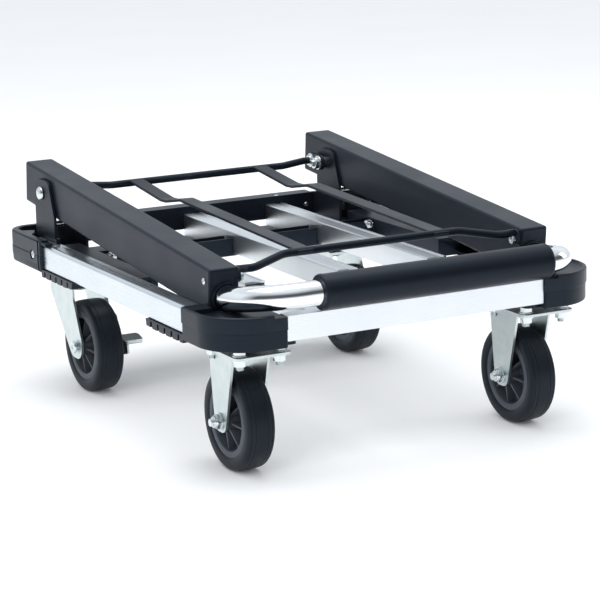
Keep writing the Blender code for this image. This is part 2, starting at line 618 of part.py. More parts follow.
for name, s in SIDES:
    x = s * WHEEL_X

    spin = empty(f"front_axle_axis_{name}", (x, FRONT_AXLE_Y, WHEEL_R - RAIL_TOP), front_frame)
    wheel(f"front_{name}", x, FRONT_AXLE_Y, spin)

    # what stays with the chassis
    plate = rounded([(x - 32, 164), (x + 32, 164), (x + 32, 236), (x - 32, 236)], 6)
    top = prism(f"swivel_plate_{name}", plate, "Z", 130.3, 133.6, ZINC)
    race_profile = [(118.4, 0), (118.4, 25), (120.2, 27), (125, 27), (128.5, 24), (130.6, 24), (130.6, 0)]
    race = lathe(f"swivel_race_{name}", race_profile, (x, KINGPIN_Y, 0), "Z", closed=False)
    bore = disc(f"swivel_bore_{name}", (x, KINGPIN_Y, 0), "Z", 110, 140, 6.2)
    join(top, race)
    chassis.append(cut(top, bore))
    profile = [(104.5, 0), (104.5, 7.5), (106, 9), (111.6, 9), (111.6, 5.9), (133.5, 5.9), (133.5, 0)]
    chassis.append(lathe(f"kingpin_{name}", profile, (x, KINGPIN_Y, 0), "Z", ZINC, 16, False))

    # what swivels
    swivel = empty(f"swivel_axis_{name}", (x, KINGPIN_Y, 112), root)
    crown = rounded([(x - 20.5, 169), (x + 20.5, 169), (x + 20.5, 232), (x - 20.5, 232)], [1.5, 1.5, 8, 8])
    fork = prism(f"swivel_fork_{name}", crown, "Z", 112.0, 115.0, ZINC)
    raised = lathe(
        f"swivel_crown_{name}", [(114.5, 0), (114.5, 22.5), (118.0, 20), (118.0, 0)], (x, KINGPIN_Y, 0), "Z", None, 20, False
    )
    leg = rounded(
        [(232, 113.5), (232, 103), (177, 37.5), (150.5, 36.5), (150.5, 58), (169, 101), (169, 113.5)],
        [0, 10, 12, 12, 8, 6, 0],
    )
    legs = [
        prism(f"swivel_leg_{name}_{n}", leg, "X", x + side * LEG_IN, x + side * LEG_OUT)
        for n, side in (("in", -s), ("out", s))
    ]
    pin_bore = disc(f"swivel_pin_bore_{name}", (x, KINGPIN_Y, 0), "Z", 105, 125, 6.2)
    axle_bore = disc(f"swivel_axle_bore_{name}", (x, REAR_AXLE_Y, 50), "X", -30, 30, BORE_R)
    join(fork, raised, *legs)
    cut(fork, pin_bore, axle_bore)
    profile = [(-25.8, 0), (-25.8, 5), (-23.3, 7), (-23.3, 4), (23.3, 4), (23.3, 7), (25.8, 5), (25.8, 0)]
    axle = lathe(f"rear_axle_{name}", profile, (x, REAR_AXLE_Y, 50), "X", ZINC, 16, False)
    for piece in (fork, axle):
        place(piece, swivel, root)

    spin = empty(f"rear_axle_axis_{name}", (0, REAR_AXLE_Y - KINGPIN_Y, WHEEL_R - 112), swivel)
    wheel(f"rear_{name}", x, REAR_AXLE_Y, spin)

    # the brake lever turns on the axle, on the right of the wheel, with its tread bent outwards
    hinge = empty(f"brake_axis_{name}", (0, REAR_AXLE_Y - KINGPIN_Y, WHEEL_R - 112), swivel)
    arm = rounded(
        [(174, 40), (174, 60), (160, 84), (149, 82), (150, 64), (122, 56), (121, 45), (148, 38)],
        [9, 8, 5, 4, 3, 2, 3, 6],
    )
    pedal = prism(f"brake_pedal_{name}", arm, "X", x + 21.0, x + 23.0, ZINC)
    tread = strip([(142, 60.6), (122.5, 55.2)], 2.2)
    tread = prism(f"brake_tread_{name}", tread, "X", x + 21.5, x + 47.0)
    bore = disc(f"brake_bore_{name}", (x, REAR_AXLE_Y, 50), "X", -30, 30, BORE_R)
    join(pedal, tread)
    cut(pedal, bore)
    place(pedal, hinge, root)

for piece in chassis:
    place(piece, root, root)
for piece in front:
    place(piece, front_frame, root)
for piece in handle_base:
    place(piece, fold_frame, root)
for piece in handle_bar:
    place(piece, slide_frame, root)
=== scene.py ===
import json
import math

import bmesh
import bpy
from mathutils import Matrix, Vector


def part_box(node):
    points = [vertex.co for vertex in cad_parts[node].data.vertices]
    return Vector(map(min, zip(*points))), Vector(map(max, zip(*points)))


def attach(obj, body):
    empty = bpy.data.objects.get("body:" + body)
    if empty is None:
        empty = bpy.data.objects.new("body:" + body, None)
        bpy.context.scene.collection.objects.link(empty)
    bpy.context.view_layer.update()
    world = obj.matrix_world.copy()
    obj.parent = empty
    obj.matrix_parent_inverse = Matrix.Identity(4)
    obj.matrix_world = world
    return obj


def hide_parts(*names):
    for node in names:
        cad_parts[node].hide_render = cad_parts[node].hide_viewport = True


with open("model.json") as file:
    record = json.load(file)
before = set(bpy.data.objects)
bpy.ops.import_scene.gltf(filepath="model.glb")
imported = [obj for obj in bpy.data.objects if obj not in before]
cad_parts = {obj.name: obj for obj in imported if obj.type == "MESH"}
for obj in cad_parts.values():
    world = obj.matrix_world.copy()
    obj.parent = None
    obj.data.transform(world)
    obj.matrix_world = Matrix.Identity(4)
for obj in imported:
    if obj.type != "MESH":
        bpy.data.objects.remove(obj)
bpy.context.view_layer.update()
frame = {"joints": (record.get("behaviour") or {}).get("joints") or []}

MM = 0.001
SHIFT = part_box("rear_beam")[1][1] / MM - 260.5  # the chassis middle sits this far behind the frame's origin
SIDES = (("left", -1), ("right", 1))
JOINTS = {joint["name"]: joint for joint in frame["joints"]}


def local(point):
    """A frame point in metres as millimetres from the chassis middle."""
    return Vector((point[0] / MM, point[1] / MM - SHIFT, point[2] / MM))


# ---------------------------------------------------------------- materials


def shader(name, colour, roughness, metallic=0.0, specular=0.5):
    made = bpy.data.materials.new(name)
    made.use_nodes = True
    tree = made.node_tree
    bsdf = tree.nodes["Principled BSDF"]
    bsdf.inputs["Base Color"].default_value = (*colour, 1)
    bsdf.inputs["Roughness"].default_value = roughness
    bsdf.inputs["Metallic"].default_value = metallic
    bsdf.inputs["Specular IOR Level"].default_value = specular
    return made, tree, bsdf


def node(tree, kind):
    return tree.nodes.new(kind)


def colour_mix(tree):
    made = node(tree, "ShaderNodeMix")
    made.data_type = "RGBA"
    return made


def coordinates(tree, scale=(1, 1, 1)):
    """Object coordinates in millimetres, stretched by scale."""
    source = node(tree, "ShaderNodeTexCoord")
    mapping = node(tree, "ShaderNodeMapping")
    mapping.inputs["Scale"].default_value = [1000 * s for s in scale]
    tree.links.new(source.outputs["Object"], mapping.inputs["Vector"])
    return mapping.outputs["Vector"]


def ramp(tree, source, low, high, colours):
    made = node(tree, "ShaderNodeValToRGB")
    made.color_ramp.elements[0].position = low
    made.color_ramp.elements[1].position = high
    for element, colour in zip(made.color_ramp.elements, colours):
        element.color = (*colour, 1)
    tree.links.new(source, made.inputs["Fac"])
    return made.outputs["Color"]


def spread(tree, source, low, high):
    """The 0 to 1 value source mapped onto low to high."""
    made = node(tree, "ShaderNodeMapRange")
    made.inputs["To Min"].default_value = low
    made.inputs["To Max"].default_value = high
    tree.links.new(source, made.inputs["Value"])
    return made.outputs["Result"]


def noise(tree, vector, scale, detail=3.0, roughness=0.5):
    made = node(tree, "ShaderNodeTexNoise")
    made.inputs["Scale"].default_value = scale
    made.inputs["Detail"].default_value = detail
    made.inputs["Roughness"].default_value = roughness
    tree.links.new(vector, made.inputs["Vector"])
    return made.outputs["Fac"]


def bump(tree, bsdf, heights):
    """Stacks (value, strength, distance in mm) bumps on the shader's normal."""
    normal = None
    for value, strength, distance in heights:
        made = node(tree, "ShaderNodeBump")
        made.inputs["Strength"].default_value = strength
        made.inputs["Distance"].default_value = distance * MM
        tree.links.new(value, made.inputs["Height"])
        if normal:
            tree.links.new(normal, made.inputs["Normal"])
        normal = made.outputs["Normal"]
    tree.links.new(normal, bsdf.inputs["Normal"])


COOL = (0.64, 0.80, 1.0, 1)  # the blue cast of reflections in the black parts


def painted_edge_highlight(tree, bsdf, base, highlight_colour, amount):
    """Lightens the convex edges a little, as a painted highlight along them."""
    geometry = node(tree, "ShaderNodeNewGeometry")
    highlight_mask = ramp(tree, geometry.outputs["Pointiness"], 0.52, 0.58, ((0, 0, 0), (amount,) * 3))
    mix = colour_mix(tree)
    mix.inputs["A"].default_value = (*base, 1)
    mix.inputs["B"].default_value = (*highlight_colour, 1)
    tree.links.new(highlight_mask, mix.inputs["Factor"])
    tree.links.new(mix.outputs["Result"], bsdf.inputs["Base Color"])


def painted(name, colour, roughness):
    """Powder coat: a fine orange peel with slow drifts of gloss."""
    made, tree, bsdf = shader(name, colour, roughness, 0.0, 0.24)
    bsdf.inputs["Specular Tint"].default_value = COOL
    vector = coordinates(tree)
    drift = noise(tree, vector, 0.02, 2)
    tree.links.new(spread(tree, drift, roughness - 0.07, roughness + 0.07), bsdf.inputs["Roughness"])
    bump(tree, bsdf, [(noise(tree, vector, 1.3, 2), 0.12, 0.12), (noise(tree, vector, 4.0, 2), 0.10, 0.05)])
    # the convex edges get a painted highlight
    painted_edge_highlight(tree, bsdf, colour, tuple(3 * c + 0.012 for c in colour), 0.35)
    return made


def moulded(name, colour, roughness, grain=2.2, depth=0.08):
    """Moulded plastic or rubber with a fine grain."""
    made, tree, bsdf = shader(name, colour, roughness, 0.0, 0.28)
    bsdf.inputs["Specular Tint"].default_value = COOL
    vector = coordinates(tree)
    drift = noise(tree, vector, 0.035, 3)
    tree.links.new(spread(tree, drift, roughness - 0.08, roughness + 0.08), bsdf.inputs["Roughness"])
    bump(tree, bsdf, [(noise(tree, vector, grain, 4, 0.6), 0.25, depth)])
    # the convex edges get a painted highlight
    painted_edge_highlight(tree, bsdf, colour, tuple(2.2 * c + 0.010 for c in colour), 0.4)
    return made


def drawn(name, colour, roughness, along):
    """Extruded aluminium, with fine lines along its length."""
    made, tree, bsdf = shader(name, colour, roughness, 1.0)
    scale = [3.0, 3.0, 3.0]
    scale["XYZ".index(along)] = 0.02
    lines = noise(tree, coordinates(tree, scale), 1.0, 4, 0.7)
    drift = noise(tree, coordinates(tree), 0.015, 2)
    tint = ramp(tree, drift, 0.3, 0.7, (tuple(c * 0.95 for c in colour), colour))
    tree.links.new(tint, bsdf.inputs["Base Color"])
    tree.links.new(spread(tree, lines, roughness - 0.08, roughness + 0.10), bsdf.inputs["Roughness"])
    bump(tree, bsdf, [(lines, 0.18, 0.03)])
    return made


def plated(name, colour, roughness, uneven=0.08, cold=(0.86, 0.93, 0.95)):
    """Zinc or chrome plate: a little cloudy towards a colder tint, with fine scratches."""
    made, tree, bsdf = shader(name, colour, roughness, 1.0)
    vector = coordinates(tree)
    cloud = noise(tree, vector, 0.09, 4, 0.6)
    tinted = tuple(c * t for c, t in zip(colour, cold))
    tree.links.new(ramp(tree, cloud, 0.35, 0.65, (tinted, colour)), bsdf.inputs["Base Color"])
    gloss = spread(tree, noise(tree, vector, 0.5, 3), roughness - uneven, roughness + uneven)
    tree.links.new(gloss, bsdf.inputs["Roughness"])
    bump(tree, bsdf, [(noise(tree, coordinates(tree, (0.3, 0.3, 4)), 1.0, 3), uneven, 0.03)])
    return made


PAINT = painted("black powder coat", (0.0043, 0.0062, 0.0103), 0.38)
PLASTIC = moulded("black moulded plastic", (0.0041, 0.0058, 0.0094), 0.35)
FOAM = moulded("black grip foam", (0.0036, 0.0049, 0.0078), 0.40, 1.1, 0.10)
RUBBER = moulded("black tyre rubber", (0.0060, 0.0075, 0.0100), 0.46, 1.6, 0.10)
RIM = moulded("dark grey rim", (0.050, 0.056, 0.066), 0.45)
ALU_Y = drawn("aluminium drawn lengthwise", (0.82, 0.85, 0.87), 0.33, "Y")
# the side rails' aluminium: a darker copy of the drawn aluminium, its darkness painted shade on their faces
ALU_RAIL_SHADED = drawn("aluminium of the side rails in painted shade", (0.70, 0.745, 0.78), 0.26, "Y")
ALU_X = drawn("aluminium drawn crosswise", (0.79, 0.82, 0.85), 0.28, "X")
CHROME = plated("bright chrome tube", (0.92, 0.925, 0.93), 0.12, 0.02, (0.98, 0.99, 1.0))
ZINC = plated("zinc plated steel", (0.64, 0.68, 0.67), 0.33)
STEEL = plated("bright fasteners", (0.76, 0.78, 0.78), 0.25)


# ---------------------------------------------------------------- shapes


def add(name, data, matrix=None, mat=None):
    obj = bpy.data.objects.new(name, data)
    if matrix is not None:
        obj.matrix_world = matrix
    if mat:
        data.materials.clear()
        data.materials.append(mat)
    bpy.context.scene.collection.objects.link(obj)
    return obj


def from_bm(name, bm, mat=None, smooth=None):
    bmesh.ops.remove_doubles(bm, verts=bm.verts, dist=0.002 * MM)
    bmesh.ops.recalc_face_normals(bm, faces=bm.faces)
    mesh = bpy.data.meshes.new(name)
    bm.to_mesh(mesh)
    bm.free()
    if smooth is not None:
        mesh.shade_smooth()
        mesh.set_sharp_from_angle(angle=math.radians(smooth))
    return add(name, mesh, None, mat)


def at(point):
    """A point in millimetres from the chassis middle, as a place in the frame."""
    return Vector((point[0], point[1] + SHIFT, point[2])) * MM


def rounded(points, radii, steps=6, closed=True):
    """The outline or path with each corner turned into an arc of its radius, in its number of steps."""
    points = [Vector((*p, 0.0)) if len(p) == 2 else Vector(p) for p in points]
    count = len(points)
    if not isinstance(radii, (list, tuple)):
        radii = [radii] * count
    if not isinstance(steps, (list, tuple)):
        steps = [steps] * count
    out = []
    for i, (corner, radius) in enumerate(zip(points, radii)):
        if not radius or (not closed and i in (0, count - 1)):
            out.append(corner)
            continue
        u = (points[i - 1] - corner).normalized()
        v = (points[(i + 1) % count] - corner).normalized()
        half = u.angle(v) / 2
        centre = corner + (u + v).normalized() * (radius / math.sin(half))
        start = corner + u * (radius / math.tan(half)) - centre
        end = corner + v * (radius / math.tan(half)) - centre
        axis = start.cross(end).normalized()
        for k in range(steps[i] + 1):
            out.append(centre + Matrix.Rotation(start.angle(end) * k / steps[i], 3, axis) @ start)
    return out


# where an outline's point p goes, at the place a along the axis
PUT = {
    "X": lambda p, a: (a, p[0], p[1]),
    "Y": lambda p, a: (p[0], a, p[1]),
    "Z": lambda p, a: (p[0], p[1], a),
}
# where a turned profile's point goes: a along the axis, p and q across it
TURNED = {
    "X": lambda a, p, q: (a, p, q),
    "Y": lambda a, p, q: (q, a, p),
    "Z": lambda a, p, q: (p, q, a),
}
SMOOTH_ANGLE = 30


def loft(name, axis, sections, mat=None):
    """Outlines of equal count at places along an axis, skinned and capped."""
    bm = bmesh.new()
    rings = [[bm.verts.new(at(PUT[axis](p, a))) for p in outline] for a, outline in sections]
    count = len(rings[0])
    for first, second in zip(rings, rings[1:]):
        for i in range(count):
            j = (i + 1) % count
            bm.faces.new((first[i], first[j], second[j], second[i]))
    bm.faces.new(rings[0][::-1])
    bm.faces.new(rings[-1])
    return from_bm(name, bm, mat, SMOOTH_ANGLE)


def prism(name, outline, axis, start, end, mat=None):
    return loft(name, axis, [(start, outline), (end, outline)], mat)


def soften(obj, width, segments=2, angle=35):
    """Rounds off the edges sharper than angle."""
    obj.data.shade_smooth()
    for edge in obj.data.edges:
        edge.use_edge_sharp = False
    edge = obj.modifiers.new("Soft edges", "BEVEL")
    edge.width = width * MM
    edge.segments = segments
    edge.limit_method = "ANGLE"
    edge.angle_limit = math.radians(angle)
    edge.harden_normals = True
    edge.use_clamp_overlap = True


def boxes(name, parts):
    """Cutters, each given as its (low, high) pairs in x, y and z."""
    bm = bmesh.new()
    for limits in parts:
        middle = Vector([sum(pair) / 2 for pair in limits])
        size = Vector([abs(pair[1] - pair[0]) for pair in limits]) * MM
        placed = Matrix.Translation(at(middle)) @ Matrix.Diagonal((*size, 1))
        bmesh.ops.create_cube(bm, size=1.0, matrix=placed)
    mesh = bpy.data.meshes.new(name)
    bm.to_mesh(mesh)
    bm.free()
    return add(name, mesh)


def lathe(name, profile, centre, axis, mat=None, steps=48, closed=True, smooth=SMOOTH_ANGLE):
    """The (along, radius) profile turned about an axis through centre."""
    put = TURNED[axis]
    bm = bmesh.new()
    rings = []
    for along, radius in profile:
        if radius == 0:
            rings.append([bm.verts.new(at(Vector(centre) + Vector(put(along, 0, 0))))] * steps)
            continue
        ring = []
        for k in range(steps):
            turn = 2 * math.pi * k / steps
            spot = Vector(put(along, radius * math.cos(turn), radius * math.sin(turn)))
            ring.append(bm.verts.new(at(Vector(centre) + spot)))
        rings.append(ring)
    for i in range(len(rings) if closed else len(rings) - 1):
        first, second = rings[i], rings[(i + 1) % len(rings)]
        for k in range(steps):
            j = (k + 1) % steps
            corners = list(dict.fromkeys([first[k], first[j], second[j], second[k]]))
            if len(corners) > 2:
                bm.faces.new(corners)
    return from_bm(name, bm, mat, smooth)


def rod(name, centre, axis, start, end, radius, steps, mat=None):
    """A plain round bar: a bore's cutter, a washer or a shank."""
    profile = [(start, 0), (start, radius), (end, radius), (end, 0)]
    return lathe(name, profile, centre, axis, mat, steps, False)


def sweep(name, path, radius, mat=None, steps=24, bore=0.0):
    """A round bar or a tube along a path, its ends closed."""
    path = [Vector(p) for p in path]
    count = len(path)
    tangents = [(path[min(i + 1, count - 1)] - path[max(i - 1, 0)]).normalized() for i in range(count)]
    across = tangents[0].orthogonal().normalized()
    bm = bmesh.new()
    layers = ([], [])
    for centre, tangent in zip(path, tangents):
        across = (across - tangent * across.dot(tangent)).normalized()
        other = tangent.cross(across)
        for layer, size in zip(layers, (radius, bore) if bore else (radius,)):
            ring = []
            for k in range(steps):
                turn = 2 * math.pi * k / steps
                offset = (across * math.cos(turn) + other * math.sin(turn)) * size
                ring.append(bm.verts.new(at(centre + offset)))
            layer.append(ring)
    for layer in layers:
        for first, second in zip(layer, layer[1:]):
            for k in range(steps):
                j = (k + 1) % steps
                bm.faces.new((first[k], first[j], second[j], second[k]))
    for end in (0, -1):
        if bore:
            outer, inner = layers[0][end], layers[1][end]
            for k in range(steps):
                j = (k + 1) % steps
                bm.faces.new((outer[k], outer[j], inner[j], inner[k]))
        else:
            bm.faces.new(layers[0][end])
    return from_bm(name, bm, mat, 40)


def strip(points, thickness):
    """The outline of a flat bar bent along (y, z) points."""
    points = [Vector(p[:2]) for p in points]
    sides = ([], [])
    for i, here in enumerate(points):
        along = (points[min(i + 1, len(points) - 1)] - points[max(i - 1, 0)]).normalized()
        normal = Vector((-along.y, along.x)) * thickness / 2
        sides[0].append(here + normal)
        sides[1].append(here - normal)
    return sides[0] + sides[1][::-1]


def coat(obj, mat):
    """Gives a finished shape one material all over."""
    obj.data.materials.clear()
    obj.data.materials.append(mat)


def combine(obj, others, operation):
    for other in others:
        step = obj.modifiers.new("Shape", "BOOLEAN")
        step.operation = operation
        step.object = other
        step.solver = "EXACT"
    bake(obj)
    for other in others:
        bpy.data.objects.remove(other)
    return obj


def bake(obj):
    """Applies the modifiers, so that helpers can be removed."""
    bpy.context.view_layer.update()
    graph = bpy.context.evaluated_depsgraph_get()
    mesh = bpy.data.meshes.new_from_object(obj.evaluated_get(graph))
    old = obj.data
    obj.modifiers.clear()
    obj.data = mesh
    mesh.name = obj.name
    bpy.data.meshes.remove(old)


def smooth_after_cuts(obj, angle):
    obj.data.shade_smooth()
    obj.data.set_sharp_from_angle(angle=math.radians(angle))


def cut(obj, *others):
    return combine(obj, others, "DIFFERENCE")


def join(obj, *others):
    return combine(obj, others, "UNION")


def keep_inside(obj, other):
    return combine(obj, [other], "INTERSECT")


def mirrored(outline, side):
    return [(p[0] * side, p[1]) for p in outline]


def piece(obj, body, slot, *nodes):
    """Hands over a finished shape with the body that carries it and the solids it stands for; its slot is not
    used.
    """
    even = obj.modifiers.new("Even shading", "WEIGHTED_NORMAL")
    even.keep_sharp = True
    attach(obj, body)
    if nodes:
        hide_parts(*nodes)


def hexagon(name, centre, axis, start, end, radius, mat):
    """A hexagonal head or nut with its corners turned off."""
    chamfer = 0.5
    across, upward = {"X": (1, 2), "Y": (0, 2), "Z": (0, 1)}[axis]
    place = centre["XYZ".index(axis)]
    points = []
    for k in range(6):
        turn = math.radians(60 * k)
        points.append((centre[across] + radius * math.cos(turn), centre[upward] + radius * math.sin(turn)))
    solid = prism(name, points, axis, place + start, place + end, mat)
    low, high = min(start, end), max(start, end)
    profile = [(low, 0), (low, radius - 2 * chamfer), (low + chamfer, radius), (high - chamfer, radius)]
    profile += [(high, radius - 2 * chamfer), (high, 0)]
    turned = lathe(name + "_turned", profile, centre, axis, None, 36, False)
    return keep_inside(solid, turned)


def thread(name, centre, axis, start, end, radius, mat, pitch=1.25):
    """A threaded shank: rings at the thread's pitch."""
    profile = [(start, 0)]
    count = max(1, int(abs(end - start) / pitch))
    step = (end - start) / count
    for k in range(count):
        profile.append((start + step * (k + 0.1), radius - 0.55))
        profile.append((start + step * (k + 0.5), radius))
        profile.append((start + step * (k + 0.9), radius - 0.55))
    profile += [(end, radius - 0.8), (end, 0)]
    return lathe(name, profile, centre, axis, mat, 24, False, 60)


# ---------------------------------------------------------------- wheels

# half profiles as (distance from the wheel's middle plane, radius)
TYRE_HALF = [(0, 50), (4.0, 49.97), (6.2, 49.9)]
TYRE_HALF += [(6.6, 49.5), (7.2, 49.5), (7.6, 49.85), (10.4, 49.6)]  # the inner groove
TYRE_HALF += [(10.8, 49.2), (11.4, 49.15), (11.8, 49.45)]  # the outer groove
TYRE_HALF += [(13.0, 49.0), (14.0, 48.0), (14.7, 46.3), (14.95, 43.8), (14.8, 41.0)]
TYRE_HALF += [(14.3, 39.0), (13.7, 38.0), (13.4, 37.4)]
RIM_HALF = [(16.5, 4.3), (16.5, 9.0), (16.0, 9.6), (4.0, 10.8)]
RIM_HALF += [(2.4, 12.4), (2.0, 27.5), (3.0, 29.3), (12.4, 30.6)]
RIM_HALF += [(13.2, 31.2), (13.6, 32.4), (13.6, 36.6), (13.2, 37.2)]
RIB_COUNT, RIB_HALF_WIDTH = 8, 0.95
RIB_SIDE = [(9.6, 0.8), (9.6, 13.6), (12.0, 13.6), (31.0, 10.4), (31.2, 0.8)]  # (radius, height)
AXLE_BORE = 4.2
LEG_IN, LEG_OUT = 18.0, 20.5  # the fork legs' faces from the wheel's middle plane


def both_halves(half):
    return half + [(-a, r) for a, r in half[::-1] if a]


def wheel(name, body):
    lowest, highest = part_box(f"{name}_tyre")
    centre = local([(a + b) / 2 for a, b in zip(lowest, highest)])
    tyre = lathe(f"{name}_tread", both_halves(TYRE_HALF), centre, "X", RUBBER, 96, smooth=35)
    piece(tyre, body, "black_tyre", f"{name}_tyre")

    rim = lathe(f"{name}_centre", both_halves(RIM_HALF), centre, "X", RIM, 72, smooth=35)
    ribs = []
    for k in range(RIB_COUNT):
        turn = Matrix.Rotation(math.radians(360 / RIB_COUNT * k + 6), 4, "X")
        for face in (1, -1):
            bm = bmesh.new()
            rings = []
            for half in (-RIB_HALF_WIDTH, RIB_HALF_WIDTH):
                ring = []
                for radius, height in RIB_SIDE:
                    spot = turn @ Vector((face * height, half * (1.15 - 0.15 * height / 14), radius))
                    ring.append(bm.verts.new(at(centre + spot)))
                rings.append(ring)
            bm.faces.new(rings[0])
            bm.faces.new(rings[1][::-1])
            for i in range(len(RIB_SIDE)):
                j = (i + 1) % len(RIB_SIDE)
                bm.faces.new((rings[0][i], rings[0][j], rings[1][j], rings[1][i]))
            ribs.append(from_bm(f"{name}_rib_{k}", bm))
    join(rim, *ribs)
    smooth_after_cuts(rim, 35)
    coat(rim, RIM)
    piece(rim, body, "dark_grey_rim", f"{name}_rim")
    return centre


# ---------------------------------------------------------------- front casters

FRONT_BOLT_ACROSS, FRONT_BOLTS = 21.0, (-235, -177)  # from the caster's middle, and along the cart

for side, s in SIDES:
    body = "front_deck"
    centre = wheel(f"front_{side}", f"front_wheel_{side}")
    x = centre.x

    plate = rounded([(x - 30, -246), (x + 30, -246), (x + 30, -166), (x - 30, -166)], 6, 6)
    plate = prism(f"front_caster_plate_{side}", plate, "Z", 122.0, 124.5, ZINC)
    leg = rounded([(-219, 123.2), (-198.6, 39.3), (-177.4, 39.3), (-167, 123.2)], [0, 9.5, 9.5, 0], 8)
    legs = [prism(f"leg_{n}", leg, "X", x + n * LEG_IN, x + n * LEG_OUT) for n in (-1, 1)]
    # the bends where the legs leave the plate
    webs = []
    for n in (-1, 1):
        bend = ((19.0, 122.6), (25.5, 122.6), (23.2, 121.5), (21.4, 119.8), (20.3, 117))
        webs.append(prism(f"bend_{n}", [(x + n * out, z) for out, z in bend], "Y", -217.5, -168.5))
    bores = [rod(f"bore_{side}", centre, "X", -30, 30, AXLE_BORE, 24)]
    for i in (-1, 1):
        for by in FRONT_BOLTS:
            bores.append(rod("slot", (x + i * FRONT_BOLT_ACROSS, by, 0), "Z", 110, 130, 4.4, 20))
    join(plate, *legs, *webs)
    cut(plate, *bores)
    coat(plate, ZINC)
    soften(plate, 0.5, 2, 50)
    piece(plate, body, "zinc_plated_steel", f"front_fork_{side}")

    for i in (-1, 1):
        for j, by in enumerate(FRONT_BOLTS):
            name = f"front_caster_bolt_{side}_{'in' if i * s < 0 else 'out'}_{'front' if j == 0 else 'rear'}"
            spot = (x + i * FRONT_BOLT_ACROSS, by, 0)
            head = hexagon(name, spot, "Z", 125.6, 131.4, 6.6, STEEL)
            washer = rod(name + "_washer", spot, "Z", 124.6, 125.7, 7.6, 32, STEEL)
            nut = hexagon(name + "_nut", spot, "Z", 114.6, 120.6, 6.6, STEEL)
            profile = [(120.2, 0), (120.2, 8.2), (121.9, 8.6), (121.9, 0)]
            flange = lathe(name + "_flange", profile, spot, "Z", STEEL, 32, False)
            shank = thread(name + "_thread", spot, "Z", 132.9, 110.5, 3.9, STEEL)
            join(head, washer, nut, flange, shank)
            piece(head, body, "zinc_plated_steel")

    # the axle bolt: its nut is on the left of both casters
    shank = rod(f"axle_bolt_{side}", centre, "X", -27.4, 25, 3.9, 24, STEEL)
    head = hexagon("head", centre, "X", 20.7, 26.0, 7.4, STEEL)
    nut = hexagon("nut", centre, "X", -26.0, -21.9, 7.4, STEEL)
    profile = [(-28.6, 0), (-28.6, 4.6), (-27.6, 5.8), (-25.8, 6.2), (-25.8, 0)]
    lock = lathe("lock", profile, centre, "X", None, 24, False)
    washer = rod("washer", centre, "X", -22.1, -20.7, 8.4, 32)
    bolt = thread("thread", centre, "X", -31.8, -27.0, 3.9, STEEL, 1.2)
    sleeve = lathe("sleeve", [(-17.6, 3.5), (-17.6, 7.0), (-16.7, 7.0), (-16.7, 3.5)], centre, "X", None, 24)
    other = lathe("other", [(16.7, 3.5), (16.7, 7.0), (17.6, 7.0), (17.6, 3.5)], centre, "X", None, 24)
    join(shank, head, nut, lock, washer, bolt, sleeve, other)
    piece(shank, body, "zinc_plated_steel", f"front_axle_{side}")

# ---------------------------------------------------------------- rear casters

REAR_BOLT_ACROSS, REAR_BOLTS = 25.5, (172, 228)
KINGPIN_BORE = 6.1

